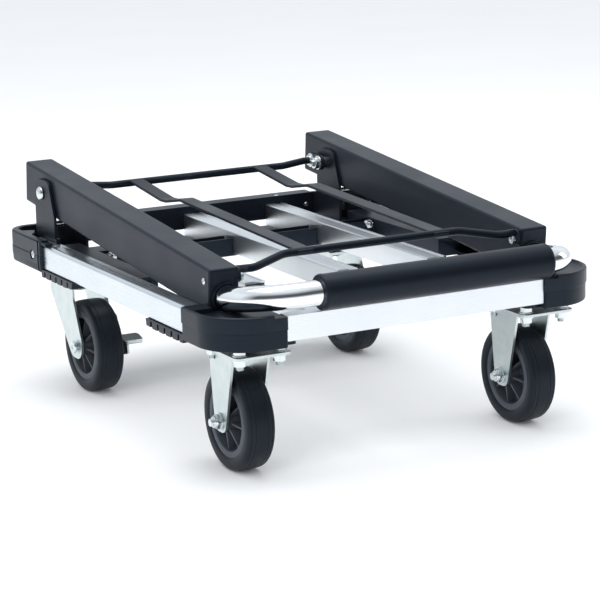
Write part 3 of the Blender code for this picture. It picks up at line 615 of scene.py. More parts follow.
for side, s in SIDES:
    body = f"rear_fork_{side}"
    centre = wheel(f"rear_{side}", f"rear_wheel_{side}")
    x = centre.x
    kingpin = (x, local(JOINTS[f"swivel_{side}"]["pos_m"]).y, 0)

    crown = rounded([(x - 20.5, 169), (x + 20.5, 169), (x + 20.5, 232), (x - 20.5, 232)], [1.5, 1.5, 8, 8])
    fork = prism(f"swivel_fork_shell_{side}", crown, "Z", 112.0, 115.0, ZINC)
    profile = [(114.2, 0), (114.2, 24.5), (115.6, 23.2), (117.0, 20.5), (118.0, 19), (118.0, 0)]
    raised = lathe("raised", profile, kingpin, "Z", None, 48, False)
    leg = rounded(
        [(232, 113.6), (232, 102), (177.2, 36.8), (151, 36.2), (149.6, 58), (169, 101), (169, 113.6)],
        [0, 10, 13, 13, 8, 6, 0],
        8,
    )
    legs = [prism(f"leg_{n}", leg, "X", x + n * LEG_IN, x + n * LEG_OUT) for n in (-1, 1)]
    pin_bore = rod("pin_bore", kingpin, "Z", 105, 125, KINGPIN_BORE, 32)
    axle_bore = rod("axle_bore", centre, "X", -30, 30, AXLE_BORE, 24)
    join(fork, raised, *legs)
    cut(fork, pin_bore, axle_bore)
    coat(fork, ZINC)
    soften(fork, 0.6, 2, 50)
    piece(fork, body, "zinc_plated_steel", f"swivel_fork_{side}")

    profile = [(-25.6, 0), (-25.6, 4.4), (-25.2, 5.8), (-23.9, 7.0), (-23.4, 7.0), (-23.4, 3.9)]
    profile += [(23.4, 3.9), (23.4, 7.0), (23.9, 7.0), (25.2, 5.8), (25.6, 4.4), (25.6, 0)]
    axle = lathe(f"rivet_axle_{side}", profile, centre, "X", STEEL, 40, False)
    dimple = lathe("dimple", [(-27, 0), (-27, 3.4), (-25.0, 2.6), (-25.0, 0)], centre, "X", None, 24, False)
    dimple_b = lathe("dimple_b", [(27, 0), (27, 3.4), (25.0, 2.6), (25.0, 0)], centre, "X", None, 24, False)
    cut(axle, dimple, dimple_b)
    piece(axle, body, "zinc_plated_steel", f"rear_axle_{side}")

    # top plate, ball race and kingpin stay with the chassis
    plate = rounded([(x - 32, 164), (x + 32, 164), (x + 32, 236), (x - 32, 236)], 7, 6)
    plate = prism(f"swivel_top_{side}", plate, "Z", 130.8, 133.3, ZINC)
    profile = [(118.4, 0), (118.4, 23), (119.0, 25.2), (120.4, 26.6), (122.4, 27), (124.2, 26.7)]
    profile += [(125.2, 25.2), (125.4, 24.2), (126.6, 24.8), (129.0, 26.6), (130.9, 28.5), (130.9, 0)]
    race = lathe("race", profile, kingpin, "Z", None, 64, False)
    bore = rod("bore", kingpin, "Z", 110, 140, KINGPIN_BORE, 32)
    join(plate, race)
    cut(plate, bore)
    coat(plate, ZINC)
    soften(plate, 0.4, 2, 50)
    piece(plate, "chassis", "zinc_plated_steel", f"swivel_plate_{side}")
    profile = [(104.2, 0), (104.2, 4), (104.6, 6.6), (105.8, 8.4), (107.6, 9), (111.7, 9), (111.7, 5.8)]
    profile += [(133.5, 5.8), (133.5, 0)]
    rivet = lathe(f"kingpin_rivet_{side}", profile, kingpin, "Z", STEEL, 40, False)
    piece(rivet, "chassis", "zinc_plated_steel", f"kingpin_{side}")
    for i in (-1, 1):
        for j, by in enumerate(REAR_BOLTS):
            name = f"rear_caster_bolt_{side}_{'in' if i * s < 0 else 'out'}_{'front' if j == 0 else 'rear'}"
            spot = (x + i * REAR_BOLT_ACROSS, by, 0)
            nut = hexagon(name, spot, "Z", 124.9, 129.4, 5.6, STEEL)
            tip = thread(name + "_tip", spot, "Z", 131.4, 122.4, 2.9, STEEL, 1.0)
            profile = [(129.3, 0), (129.3, 6.9), (130.7, 7.1), (130.7, 0)]
            collar = lathe(name + "_collar", profile, spot, "Z", None, 28, False)
            piece(join(nut, tip, collar), "chassis", "zinc_plated_steel")

    # the brake lever turns on the axle, on the right of the wheel, with its tread bent outwards
    body = f"brake_{side}"
    outline = [(174, 40), (174, 60), (160, 84), (149, 82), (150, 64), (122, 56), (121, 45), (148, 38)]
    arm = rounded(outline, [9, 8, 5, 4, 3, 2, 3, 6], 6)
    pedal = prism(f"brake_lever_{side}", arm, "X", x + 21.0, x + 23.0, ZINC)
    tread_side = rounded([(143, 60.9), (128.4, 56.8), (126.0, 54.6)], [0, 2, 0], 5, closed=False)
    tread = prism("tread", strip(tread_side, 1.9), "X", x + 21.4, x + 43.0)
    plan = rounded([(x + 12, 120), (x + 43, 125.6), (x + 43, 143.6), (x + 12, 146)], [0, 7, 7, 0], 6)
    keep_inside(tread, prism("plan", plan, "Z", 30, 80))
    bore = rod("bore", centre, "X", -30, 30, AXLE_BORE, 24)
    join(pedal, tread)
    cut(pedal, bore)
    coat(pedal, ZINC)
    soften(pedal, 0.5, 2, 50)
    piece(pedal, body, "zinc_plated_steel", f"brake_pedal_{side}")

# ---------------------------------------------------------------- handle arms and rack

ARM_IN, ARM_OUT, ARM_HEIGHT = 159.0, 191.0, 44.75
REAR_TOP, FRONT_TOP = Vector((262.5, 241.5)), Vector((-196.2, 200.8))
pivot = local(JOINTS["handle_fold"]["pos_m"])
PIVOT = (pivot.y, pivot.z)
STOP_PIN = (181.0, 184.5)
PIVOT_BORE = 4.2
TUBE_DROP = 5.4  # the tube lies this far below the middle of the arm
ALONG = (REAR_TOP - FRONT_TOP).normalized()
DOWN = Vector((ALONG.y, -ALONG.x))
FRONT_BOTTOM, REAR_BOTTOM = FRONT_TOP + DOWN * ARM_HEIGHT, REAR_TOP + DOWN * ARM_HEIGHT
ARM_AXIS = FRONT_TOP + DOWN * (ARM_HEIGHT / 2 + TUBE_DROP)
TUBE_X, TUBE_R = 173.8, 12.25


def pan_screw(name, centre, side, face, radius, height, mat):
    """A pan head standing on the face at |x| = face, pointing out along side, with a cross recess."""
    x = face
    profile = [(x - 2, 0), (x - 2, radius * 0.4), (x, radius * 0.4), (x, radius), (x + height * 0.35, radius)]
    profile += [(x + height * 0.8, radius * 0.72), (x + height, radius * 0.35), (x + height, 0)]
    head = lathe(name, [(side * a, r) for a, r in profile], (0, *centre), "X", mat, 32, False)
    deep = (side * (x + height - 1.1), side * (x + height + 2))
    slots = []
    for reach_y, reach_z in ((radius * 0.55, 0.45), (0.45, radius * 0.55)):
        span_y = (centre[0] - reach_y, centre[0] + reach_y)
        span_z = (centre[1] - reach_z, centre[1] + reach_z)
        slots.append(boxes(f"slot_{len(slots)}", [(deep, span_y, span_z)]))
    return cut(head, *slots)


for side, s in SIDES:
    body = "handle_base"
    outline = [FRONT_TOP, REAR_TOP, REAR_BOTTOM, FRONT_BOTTOM]
    arm = prism(f"arm_tube_{side}", outline, "X", s * ARM_IN, s * ARM_OUT, PAINT)
    bore = rod("bore", (0, *PIVOT), "X", s * 150, s * 200, PIVOT_BORE, 24)
    soften(arm, 2.6, 4)
    bake(arm)
    inside = [
        FRONT_TOP - ALONG * 5 + DOWN * 2,
        REAR_TOP - ALONG * 3 + DOWN * 2,
        REAR_BOTTOM - ALONG * 3 - DOWN * 2,
        FRONT_BOTTOM - ALONG * 5 - DOWN * 2,
    ]
    inside = prism("inside", inside, "X", s * (ARM_IN + 2), s * (ARM_OUT - 2))
    cut(arm, inside, bore)
    coat(arm, PAINT)
    piece(arm, body, "satin_black_paint", f"arm_{side}")

    plug = [
        FRONT_TOP - ALONG * 0.2 + DOWN * 2.1,
        FRONT_TOP + ALONG * 24 + DOWN * 2.1,
        FRONT_BOTTOM + ALONG * 24 - DOWN * 2.1,
        FRONT_BOTTOM - ALONG * 0.2 - DOWN * 2.1,
    ]
    cap = prism(f"arm_plug_{side}", plug, "X", s * (ARM_IN + 2.1), s * (ARM_OUT - 2.1), PLASTIC)
    ring = sweep("ring", [(s * TUBE_X, *(ARM_AXIS - ALONG * t)) for t in (2.4, 0.4)], 14.6, steps=64)
    hole = sweep("hole", [(s * TUBE_X, *(ARM_AXIS - ALONG * t)) for t in (20, -40)], TUBE_R + 0.5, steps=64)
    join(cap, ring)
    cut(cap, hole)
    coat(cap, PLASTIC)
    soften(cap, 0.7, 3, 50)
    piece(cap, body, "black_plastic", f"arm_cap_{side}")

    screw = pan_screw(f"arm_screw_{side}", (-184, 188), s, ARM_OUT, 3.4, 1.9, STEEL)
    piece(screw, body, "zinc_plated_steel")

ROD_REAR, ROD_FRONT = (222.0, 212.0), (-172.0, 202.0)
ROD_END = (228.0, 214.0)
ROD_R = 4.0
BAR_X, BAR_WIDTH, BAR_THICK = 77.0, 17.0, 3.0
RACK_NUT = (-187.6, 189.3)


def across_both(half, radii):
    """The path from the left end to the right one, given its right half from the end inwards."""
    return rounded([(-x, y, z) for x, y, z in half] + half[::-1], radii + radii[::-1], 8, closed=False)


front_path = across_both([(157, -186, 196), (138, -186, 195.5), (99, *ROD_FRONT)], [0, 30, 30])
front_rod = sweep("front_rod", front_path, ROD_R)
rear_path = across_both([(151.5, *ROD_END), (138, *ROD_END), (108, *ROD_REAR)], [0, 20, 30])
rack = sweep("rack_wire", rear_path, ROD_R, PAINT)
helpers = [front_rod]
for side, s in SIDES:
    x = s * BAR_X
    bends = [(223.0, 214.2), (141.0, 205.0), (128.0, 205.6), (92.0, 212.3), (-177.0, 202.8)]
    bar_path = rounded(bends, [0, 14, 14, 18, 0], 5, closed=False)
    bar = prism(f"bar_{side}", strip(bar_path, BAR_THICK), "X", x - BAR_WIDTH / 2, x + BAR_WIDTH / 2)
    soften(bar, 0.9, 3, 50)
    bake(bar)
    helpers.append(bar)
    pivot_point, rod_point = Vector(PIVOT), Vector(ROD_END)
    reach = (rod_point - pivot_point).normalized() * 8.5
    width = Vector((-reach.y, reach.x))
    lug = [pivot_point - reach + width, rod_point + reach + width]
    lug += [rod_point + reach - width, pivot_point - reach - width]
    helpers.append(prism(f"lug_{side}", rounded(lug, 8.0, 8), "X", s * 147.9, s * 152.0))
    foot = rounded([(-195, 184.4), (-180.5, 184.4), (-179, 199.5), (-193.5, 199.5)], 5.5, 6)
    helpers.append(prism(f"foot_{side}", foot, "X", s * 156.6, s * 158.8))
join(rack, *helpers)
bores = [
    rod(f"bore_{side}", (0, *PIVOT), "X", s * 145, s * 155, PIVOT_BORE, 24)
    for side, s in SIDES
]
cut(rack, *bores)
coat(rack, PAINT)
piece(rack, "handle_base", "satin_black_paint", "rack")
for side, s in SIDES:
    nut = hexagon(f"rack_nut_{side}", (s * 156.5, *RACK_NUT), "X", 0, -s * 4.4, 4.6, STEEL)
    tip = thread("tip", (s * 152.8, *RACK_NUT), "X", s * 1.0, -s * 1.6, 2.4, STEEL, 0.8)
    piece(join(nut, tip), "handle_base", "zinc_plated_steel")
    nut = hexagon(f"rack_rear_nut_{side}", (s * 147.9, *ROD_END), "X", 0, -s * 4.0, 6.4, STEEL)
    profile = [(s * 147.9, 4.5), (s * 147.9, 8.0), (s * 146.9, 8.0), (s * 146.9, 4.5)]
    washer = lathe("washer", profile, (0, *ROD_END), "X", None, 32)
    piece(join(nut, washer), "handle_base", "zinc_plated_steel")

# ---------------------------------------------------------------- handle bar

BAR_Y, BAR_Z, GRIP_R = -260.0, 181.1, 17.6
leg_end, leg_out = ARM_AXIS + ALONG * 385, ARM_AXIS - ALONG * 9
half = [(TUBE_X, *leg_end), (TUBE_X, *leg_out), (TUBE_X, BAR_Y, BAR_Z), (0, BAR_Y, BAR_Z)]
path = rounded(half + [(-x, y, z) for x, y, z in half[-2::-1]], [0, 15, 26, 0, 52, 15, 0], 14, closed=False)
tube = sweep("bent_tube", path, TUBE_R, CHROME, 40, TUBE_R - 1.6)
piece(tube, "handle_bar", "bright_tube", "handle_tube")

low, high = (v / MM for v in (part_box("handle_grip")[0][0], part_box("handle_grip")[1][0]))
bore = TUBE_R + 0.15
profile = [(low + 0.3, bore), (low, 15.2), (low + 0.3, 16.3), (low + 1.0, 17.1), (low + 2.4, GRIP_R)]
profile += [(low + 4.2, GRIP_R), (low + 5.0, GRIP_R - 0.3), (high - 5.0, GRIP_R - 0.3), (high - 4.2, GRIP_R)]
profile += [(high - 2.4, GRIP_R), (high - 1.0, 17.1), (high - 0.3, 16.3), (high, 15.2), (high - 0.3, bore)]
grip = lathe("foam_grip", profile, (0, BAR_Y, BAR_Z), "X", FOAM, 72, smooth=50)
piece(grip, "handle_bar", "black_foam_grip", "handle_grip")

# ---------------------------------------------------------------- front of the deck

body = "front_deck"
profile = [(-260.6, 138.5), (-260.6, 163.2), (-246, 163.2), (-246, 161.2), (-258.6, 161.2), (-258.6, 140.5)]
profile += [(-246, 140.5), (-246, 138.5)]
rail = prism("front_rail_extrusion", profile, "X", -143.2, 143.2, ALU_X)
soften(rail, 0.35)
piece(rail, body, "satin_aluminium", "front_rail")

for side, s in SIDES:
    profile = rounded(
        [
            (191.6, 138.5),
            (211.5, 138.5),
            (211.5, 165.0),
            (203.6, 165.0),
            (203.2, 164.1),
            (191.6, 164.1),
            (191.6, 162.6),
            (209.5, 162.6),
            (209.5, 140.5),
            (191.6, 140.5),
        ],
        [0.4, 1.2, 4.0, 0.5, 0.2, 0.4, 0.4, 1.5, 0.5, 0.4],
        [2, 4, 8, 2, 2, 2, 2, 3, 2, 2],
    )
    # the side rails take the darker aluminium, which is painted shade
    rail = prism(f"side_rail_extrusion_{side}", mirrored(profile, s), "Y", -200.0, 170.5, ALU_RAIL_SHADED)
    tongue = rounded([(196, 162.9), (204.2, 162.9), (204.2, 164.9), (196, 164.9)], 0.3, 2)
    tongue = prism("tongue", mirrored(tongue, s), "Y", 160.5, 212.5)
    join(rail, tongue)
    coat(rail, ALU_RAIL_SHADED)
    piece(rail, body, "satin_aluminium", f"side_rail_{side}")

SLATS = {"left": -105.0, "centre": 0.0, "right": 105.0}


def slat_profile(x, half, bottom, top, wall, groove):
    """An upturned channel with a sunk strip along the right of its top."""
    a, b, depth = groove
    points = [(x - half, bottom), (x - half, top), (x + a, top), (x + a, top - depth)]
    points += [(x + b, top - depth), (x + b, top), (x + half, top), (x + half, bottom)]
    points += [(x + half - wall, bottom), (x + half - wall, top - wall - depth)]
    points += [(x - half + wall, top - wall - depth), (x - half + wall, bottom)]
    return rounded(points, [0.3, 1.4, 0.4, 0.2, 0.2, 0.4, 1.4, 0.3, 0.2, 0.2, 0.2, 0.2], 3)


for name, x in SLATS.items():
    profile = slat_profile(x, 9.0, 144, 162.5, 1.5, (1.5, 6.5, 0.7))
    inner = prism(f"front_slat_extrusion_{name}", profile, "Y", -245.8, 200.0, ALU_Y)
    piece(inner, "front_deck", "satin_aluminium", f"front_slat_{name}")
    profile = slat_profile(x, 11.5, 142, 165.8, 1.5, (1.0, 8.0, 0.9))
    outer = prism(f"slat_extrusion_{name}", profile, "Y", -121.0, 240.2, ALU_Y)
    piece(outer, "chassis", "satin_aluminium", f"slat_{name}")


FRONT_CORNER, HALF_WIDTH, FRONT_FACE, REAR_FACE = 50.0, 215.5, -264.5, 271.0


def rail_flange(s, start, end):
    """The ribbed flange under a side rail, from its free end at start to end, and the ribs' cutters."""
    way = 1 if end > start else -1
    side = [(start + way, 131.4), (start, 138.2), (end, 138.2), (end, 134.2)]
    side += [(end - way, 130.2), (start + 19 * way, 130.2)]
    flange = prism("flange", side, "X", s * 192.5, s * 214.0)
    notches = []
    for k in range(5):
        y = start + way * (10 + 15.5 * k)
        depth = 1.0 + 0.5 * k
        middle, far = y + 2.6 * way, y + 5.2 * way
        wave = [(y, 126), (y, 131.0), (middle, 131.0 + depth), (far, 131.0), (far, 126)]
        notches.append(prism(f"notch_{k}", wave, "X", s * 188, s * 220))
        slot = ((s * 212.2, s * 216), (y + 0.8 * way, y + 4.4 * way), (128, 137))
        notches.append(boxes(f"slot_{k}", [slot]))
    return flange, notches


def front_outline(s, inset, end=0.0):
    """The corner seen from above; inset draws in the outer and front faces, end the two ends."""
    edge, front = HALF_WIDTH - inset, FRONT_FACE + inset
    points = [(143.4 + end, front), (edge, front), (edge, -181 - end), (156, -181 - end), (143.4 + end, -196)]
    return mirrored(rounded(points, [2, FRONT_CORNER - inset, 1.5, 3, 3], [4, 20, 4, 3, 3]), s)


for side, s in SIDES:
    sections = [(133.0, 2.2, 1.0), (133.6, 1.4, 0.4), (134.6, 1.0, 0.2), (150.2, 0.9, 0.2), (150.7, 0.2, 0)]
    sections += [(151.2, 0, 0), (164.3, 0, 0), (165.4, 0.4, 0.1), (166.0, 1.4, 0.3), (166.0, 3.0, 0.6)]
    sections = [(z, front_outline(s, inset, end)) for z, inset, end in sections]
    bumper = loft(f"front_bumper_shell_{side}", "Z", sections, PLASTIC)
    # the dished top inside its rim
    dish = []
    for z, inset in ((162.0, 13.0), (162.3, 9.5), (163.2, 6.6), (164.6, 4.6), (166.2, 3.6), (170.0, 3.2)):
        edge, front = HALF_WIDTH - inset, FRONT_FACE + inset
        points = [(130, front), (edge, front), (edge, -203), (192, -203), (192, -170), (130, -170)]
        outline = rounded(points, [0, FRONT_CORNER - inset, 0, 2, 0, 0], [0, 20, 0, 4, 0, 0])
        dish.append((z, mirrored(outline, s)))
    dish = loft("dish", "Z", dish)
    lip = boxes("lip", [((s * 130, s * 158), (-270, -250), (163.1, 170))])
    arm_seat = boxes("seat", [((s * 130, s * 191.3), (-201.2, -170), (155.6, 172))])
    towards = (Vector((BAR_Y, BAR_Z)) - leg_out).normalized()
    tube_path = [(s * TUBE_X, *(leg_out + towards * t)) for t in (-20, 22)]
    tube_way = sweep("tube_way", tube_path, TUBE_R + 0.9, steps=48)
    hollow = [(130, -258), (211.8, -258), (211.8, -170), (130, -170)]
    hollow = rounded(hollow, [0, FRONT_CORNER - 4, 0, 0], [0, 16, 0, 0])
    hollow = prism("hollow", mirrored(hollow, s), "Z", 136.5, 154.0)
    sleeve = boxes("sleeve", [((s * 188, s * 211.8), (-200.8, -170), (150.0, 165.3))])
    base = rounded([(128, -252), (195, -252), (195, -163), (128, -163)], 5)
    base = prism("base", mirrored(base, s), "Z", 133.0, 136.6)
    flange, notches = rail_flange(s, -97, -182)
    cut(bumper, dish, lip, hollow, sleeve, arm_seat, tube_way)
    join(bumper, base, flange)
    cut(bumper, *notches)
    coat(bumper, PLASTIC)
    smooth_after_cuts(bumper, 28)
    piece(bumper, "front_deck", "black_plastic", f"front_bumper_{side}")

# ---------------------------------------------------------------- rear chassis

body = "chassis"
outline = rounded([(240.5, 148), (260.5, 148), (260.5, 174), (240.5, 174)], 0.8, 3)
beam = prism("rear_beam_extrusion", outline, "X", -155.5, 155.5, PAINT)
cut(beam, boxes("bore", [((-160, 160), (243, 258), (150.5, 166))]))
coat(beam, PAINT)
soften(beam, 0.5, 2, 50)
piece(beam, body, "satin_aluminium", "rear_beam")
for name, x in SLATS.items():
    profile = [(173.5, 0), (173.5, 2.6), (174.3, 2.4), (174.8, 1.4), (174.9, 0)]
    rivet = lathe(f"slat_rivet_{name}", profile, (x + 4.5, 243.6, 0), "Z", STEEL, 24, False)
    piece(rivet, body, "zinc_plated_steel")
for side, s in SIDES:
    profile = [(240.8, 0), (240.8, 3.4), (239.6, 3.4), (238.6, 2.4), (238.3, 0)]
    screw = lathe(f"beam_screw_{side}", profile, (s * 147, 0, 160), "Y", STEEL, 24, False)
    piece(screw, body, "zinc_plated_steel")

channel = [(115, 139), (135, 139), (135, 159), (132.8, 159)]
channel += [(132.8, 141.2), (117.2, 141.2), (117.2, 159), (115, 159)]
channel = rounded(channel, [1.5, 1.5, 0.6, 0.6, 1, 1, 0.6, 0.6], 3)
member = prism("cross_channel", channel, "X", -179.5, 179.5, PAINT)
gaps = boxes("gaps", [((x - 12.5, x + 12.5), (110, 140), (141.5, 165)) for x in SLATS.values()])
cut(member, gaps)
coat(member, PAINT)
soften(member, 0.4, 2, 60)
piece(member, body, "satin_black_paint", "cross_member")
for side, s in SIDES:
    spot = (s * 157, 0, 156.6)
    nut = hexagon(f"cross_bolt_{side}", spot, "Y", 108.6, 114.9, 4.9, STEEL)
    join(nut, thread("tip", spot, "Y", 114, 104.5, 2.9, STEEL, 1.0))
    piece(nut, body, "zinc_plated_steel")

outline = rounded([(-190, 160), (190, 160), (190, 255), (-190, 255)], 6)
deck = prism("caster_deck_plate", outline, "Z", 134.0, 137.9, PAINT)
holes = [
    rod(f"hole_{side}", (s * 160, 200, 0), "Z", 130, 142, 9, 40)
    for side, s in SIDES
]
cut(deck, *holes)
coat(deck, PAINT)
soften(deck, 0.5, 2, 60)
piece(deck, body, "satin_black_paint", "caster_deck")


def rear_outline(s, inset, end):
    """The rear corner seen from above; inset draws in the outer and rear faces, end the two ends."""
    edge, rear = HALF_WIDTH - inset, REAR_FACE - inset
    points = [(190.8, 171 + end), (edge, 171 + end), (edge, rear)]
    points += [(160 + end, rear), (160 + end, 256), (190.8, 256)]
    return mirrored(rounded(points, [0, 2, 24 - inset, 1.5, 0, 0], [0, 3, 14, 3, 0, 0]), s)


BUMPER_SCREW = (194, 151)

for side, s in SIDES:
    profile = [(208.5, 141.5), (208.5, 162.0), (193.0, 162.0), (193.0, 159.5), (206.2, 159.5), (206.2, 144.0)]
    profile += [(193.0, 144.0), (193.0, 141.5)]
    inner = prism(f"inner_rail_{side}", mirrored(rounded(profile, 0.5, 2), s), "Y", -165.0, 170.0, PAINT)
    ledge = [(166, 141.5), (193.6, 141.5), (193.6, 161.0), (166, 161.0)]
    ledge = prism("ledge", mirrored(rounded(ledge, 1.0, 3), s), "Y", -24.0, 176.0)
    join(inner, ledge)
    coat(inner, PAINT)
    piece(inner, body, "satin_black_paint", f"inner_channel_{side}")

    cheek = rounded(
        [(176.5, 138.4), (176.5, 190.7), (190.5, 229), (229, 229), (229, 150), (238, 150), (238, 138.4)],
        [0, 6, 11, 14, 3, 1, 0],
        8,
    )
    bracket = prism(f"clevis_{side}", cheek, "X", s * 192.0, s * 195.0, PAINT)
    tail = rounded(
        [(176.5, 138.4), (176.5, 190.7), (190.5, 229), (229, 229), (229, 176), (260, 171), (260, 138.4)],
        [0, 6, 11, 14, 6, 3, 0],
        8,
    )
    inner_cheek = prism("inner_cheek", tail, "X", s * 155.8, s * 158.8)
    base = boxes("base", [((s * 156.8, s * 193.8), (178, 236), (138.9, 141.4))])
    bore = rod("bore", (0, *PIVOT), "X", s * 150, s * 200, PIVOT_BORE, 24)
    join(bracket, base, inner_cheek)
    cut(bracket, bore)
    coat(bracket, PAINT)
    soften(bracket, 0.6, 2, 50)
    piece(bracket, body, "satin_black_paint", f"bracket_{side}")

    sections = [(134.0, 3.4, 1.0), (134.5, 2.2, 0.6), (135.4, 1.2, 0.3), (136.8, 0.6, 0.1), (142.7, 0.5, 0)]
    sections += [(143.1, 0, 0), (151.5, 0, 0), (151.8, 0.9, 0), (152.3, 0.9, 0), (152.6, 0.3, 0)]
    sections += [(167.4, 0.3, 0), (168.3, 0.7, 0.1), (168.9, 1.3, 0.2), (169.2, 2.2, 0.4)]
    sections = [(z, rear_outline(s, inset, end)) for z, inset, end in sections]
    bumper = loft(f"rear_bumper_shell_{side}", "Z", sections, PLASTIC)
    pocket = []
    for z, grow in ((138.3, 0), (167.6, 0), (168.6, 0.4), (169.3, 1.2), (175.0, 1.4)):
        edge, front, rear = 206.8 + grow, 176 - grow, 262 + grow
        outline = [(150, front), (edge, front), (edge, rear), (150, rear)]
        outline = rounded(outline, [0, 2, 13 + grow, 0], [0, 3, 12, 0])
        pocket.append((z, mirrored(outline, s)))
    pocket = loft("pocket", "Z", pocket)
    collar = [((s * 213.9, s * 220), (174.5, 178.5), (130, 175))]
    collar += [((s * 160, s * 213.2), (165, 171.3), (165.4, 170))]
    collar = boxes("collar", collar)
    tongue_way = boxes("tongue_way", [((s * 195.4, s * 204.8), (160, 180), (162.6, 175))])
    gusset = mirrored(rounded([(208, 243), (194, 238), (196, 232), (208, 213)], [0, 2, 2, 0], 3), s)
    gusset = prism("gusset", gusset, "Z", 165.6, 168.4)
    hook = boxes("hook", [((s * 205.2, s * 214.5), (158.0, 173.0), (165.5, 168.0))])
    soften(hook, 0.8, 3)
    bake(hook)
    flange, notches = rail_flange(s, 88, 172)
    screw_hole = rod("hole", (0, *BUMPER_SCREW), "X", s * 200, s * 220, 2.2, 16)
    profile = [(s * 213, 0), (s * 213, 5.3), (s * 220, 5.8), (s * 220, 0)]
    screw_seat = lathe("seat", profile, (0, *BUMPER_SCREW), "X", None, 40, False)
    cut(bumper, pocket, collar, tongue_way)
    join(bumper, hook, flange, gusset)
    cut(bumper, screw_hole, screw_seat, *notches)
    coat(bumper, PLASTIC)
    smooth_after_cuts(bumper, 28)
    piece(bumper, body, "black_plastic", f"rear_bumper_{side}")
    screw = pan_screw(f"bumper_pan_screw_{side}", BUMPER_SCREW, s, 213.1, 4.9, 2.3, STEEL)
    piece(screw, body, "zinc_plated_steel", f"bumper_screw_{side}")

    # pivot bolt: a domed head outside, nut and washers inside
    shank = rod(f"pivot_shank_{side}", (0, *PIVOT), "X", s * 139.4, s * 196, 3.9, 32, STEEL)
    profile = [(195.2, 0), (195.2, 7.0), (196.2, 7.4), (197.4, 6.9), (198.8, 5.4), (199.5, 3.2), (199.6, 0)]
    head = lathe("head", [(s * a, r) for a, r in profile], (0, *PIVOT), "X", None, 48, False)
    nut = hexagon("nut", (0, *PIVOT), "X", s * 141.4, s * 146.2, 7.2, STEEL)
    washer = rod("washer", (0, *PIVOT), "X", s * 146.1, s * 147.5, 8.0, 40)
    spacer = rod("spacer", (0, *PIVOT), "X", s * 152.4, s * 155.5, 6.4, 40)
    tip = thread("tip", (0, *PIVOT), "X", s * 142.0, s * 137.6, 3.9, STEEL, 1.2)
    join(shank, head, nut, washer, spacer, tip)
    piece(shank, body, "zinc_plated_steel", f"pivot_bolt_{side}")
    pin = rod(f"stop_pin_rivet_{side}", (0, *STOP_PIN), "X", s * 158.9, s * 191.9, 2.9, 32, STEEL)
    piece(pin, body, "zinc_plated_steel", f"stop_pin_{side}")

# ---------------------------------------------------------------- stage, light and camera

floor_mat, tree, bsdf = shader("pale floor", (0.93, 0.93, 0.93), 0.9)
cloud = noise(tree, coordinates(tree), 0.004, 2)
tint = ramp(tree, cloud, 0.3, 0.7, ((0.925, 0.925, 0.925), (0.94, 0.94, 0.94)))
tree.links.new(tint, bsdf.inputs["Base Color"])
mesh = bpy.data.meshes.new("floor")
bm = bmesh.new()
bmesh.ops.create_grid(bm, x_segments=2, y_segments=2, size=12.0)
bm.to_mesh(mesh)
bm.free()
FLOOR_GAP = 0.5 * MM  # keeps the floor clear of the tyres
floor = add("floor", mesh, Matrix.Translation((0, 0, -FLOOR_GAP)), floor_mat)

scene = bpy.context.scene
scene.world = bpy.data.worlds.new("studio")
scene.world.use_nodes = True
tree = scene.world.node_tree
light_path = node(tree, "ShaderNodeLightPath")
direction = node(tree, "ShaderNodeSeparateXYZ")
tree.links.new(node(tree, "ShaderNodeTexCoord").outputs["Generated"], direction.inputs["Vector"])


def wall(stops):
    """What shiny faces see on one side of the room, from the floor (0) to overhead (1)."""
    made = node(tree, "ShaderNodeValToRGB")
    while len(made.color_ramp.elements) < len(stops):
        made.color_ramp.elements.new(0.5)
    for element, (height, level) in zip(made.color_ramp.elements, stops):
        element.position = height
        element.color = (level * 0.88, level * 0.94, level, 1)
    tree.links.new(direction.outputs["Z"], made.inputs["Fac"])
    return made.outputs["Color"]


def mixed(factor, first, second):
    made = colour_mix(tree)
    tree.links.new(factor, made.inputs["Factor"])
    for socket, value in (("A", first), ("B", second)):
        if isinstance(value, tuple):
            made.inputs[socket].default_value = value
        else:
            tree.links.new(value, made.inputs[socket])
    return made.outputs["Result"]


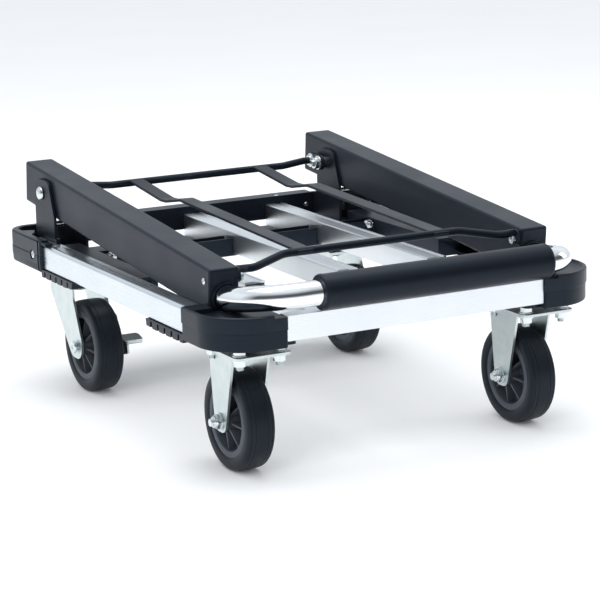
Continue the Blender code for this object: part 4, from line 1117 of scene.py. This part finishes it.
behind = wall([(0.0, 0.8), (0.12, 0.85), (0.28, 0.95), (0.5, 1.0), (0.8, 0.8)])
before = wall([(0.0, 0.8), (0.06, 0.6), (0.14, 0.10), (0.45, 0.10), (0.62, 0.5), (0.85, 1.0)])
to_back = node(tree, "ShaderNodeMapRange")
to_back.inputs["From Min"].default_value, to_back.inputs["From Max"].default_value = -0.25, 0.25
tree.links.new(direction.outputs["Y"], to_back.inputs["Value"])
room = mixed(to_back.outputs["Result"], before, behind)
result = mixed(light_path.outputs["Is Glossy Ray"], (0.90, 0.93, 0.97, 1), room)
result = mixed(light_path.outputs["Is Camera Ray"], result, (1.0, 1.0, 1.0, 1))
background = tree.nodes["Background"]
tree.links.new(result, background.inputs["Color"])
background.inputs["Strength"].default_value = 1.0
scene.view_settings.view_transform = "Standard"


def area(name, place_at, target, size, power, mirrored_in_chrome=True):
    data = bpy.data.lights.new(name, "AREA")
    data.shape = "RECTANGLE"
    data.size, data.size_y = size
    data.energy = power
    obj = bpy.data.objects.new(name, data)
    obj.location = place_at
    obj.rotation_euler = (Vector(target) - Vector(place_at)).to_track_quat("-Z", "Y").to_euler()
    obj.visible_glossy = mirrored_in_chrome
    scene.collection.objects.link(obj)


area("overhead softbox", (0.0, 0.2, 2.2), (0, 0, 0.1), (2.4, 1.6), 26)
area("left softbox", (-1.9, -1.2, 1.1), (0, 0, 0.12), (1.2, 1.4), 16, False)
area("right softbox", (2.3, -0.5, 1.0), (0, 0, 0.12), (0.8, 1.2), 9)

AZ, EL, ROLL = math.radians(-27.95), math.radians(12.78), math.radians(-1.26)
CAMERA_DISTANCE, FOCAL_LENGTH = 2.4923, 143.32
target = at((-5.38, -31.7, 123.24))
back = Vector((math.sin(AZ) * math.cos(EL), -math.cos(AZ) * math.cos(EL), math.sin(EL)))
right = (-back).cross(Vector((0, 0, 1))).normalized()
up = right.cross(-back)
right_rolled = right * math.cos(ROLL) + up * math.sin(ROLL)
up_rolled = up * math.cos(ROLL) - right * math.sin(ROLL)
camera_data = bpy.data.cameras.new("camera")
camera_data.sensor_width = 36
camera_data.lens = FOCAL_LENGTH
camera_data.shift_x, camera_data.shift_y = -0.0035, -0.0096
camera_data.clip_end = 50
camera = bpy.data.objects.new("camera", camera_data)
rotation = Matrix((right_rolled, up_rolled, back)).transposed().to_4x4()
camera.matrix_world = Matrix.Translation(target + back * CAMERA_DISTANCE) @ rotation
scene.collection.objects.link(camera)
scene.camera = camera
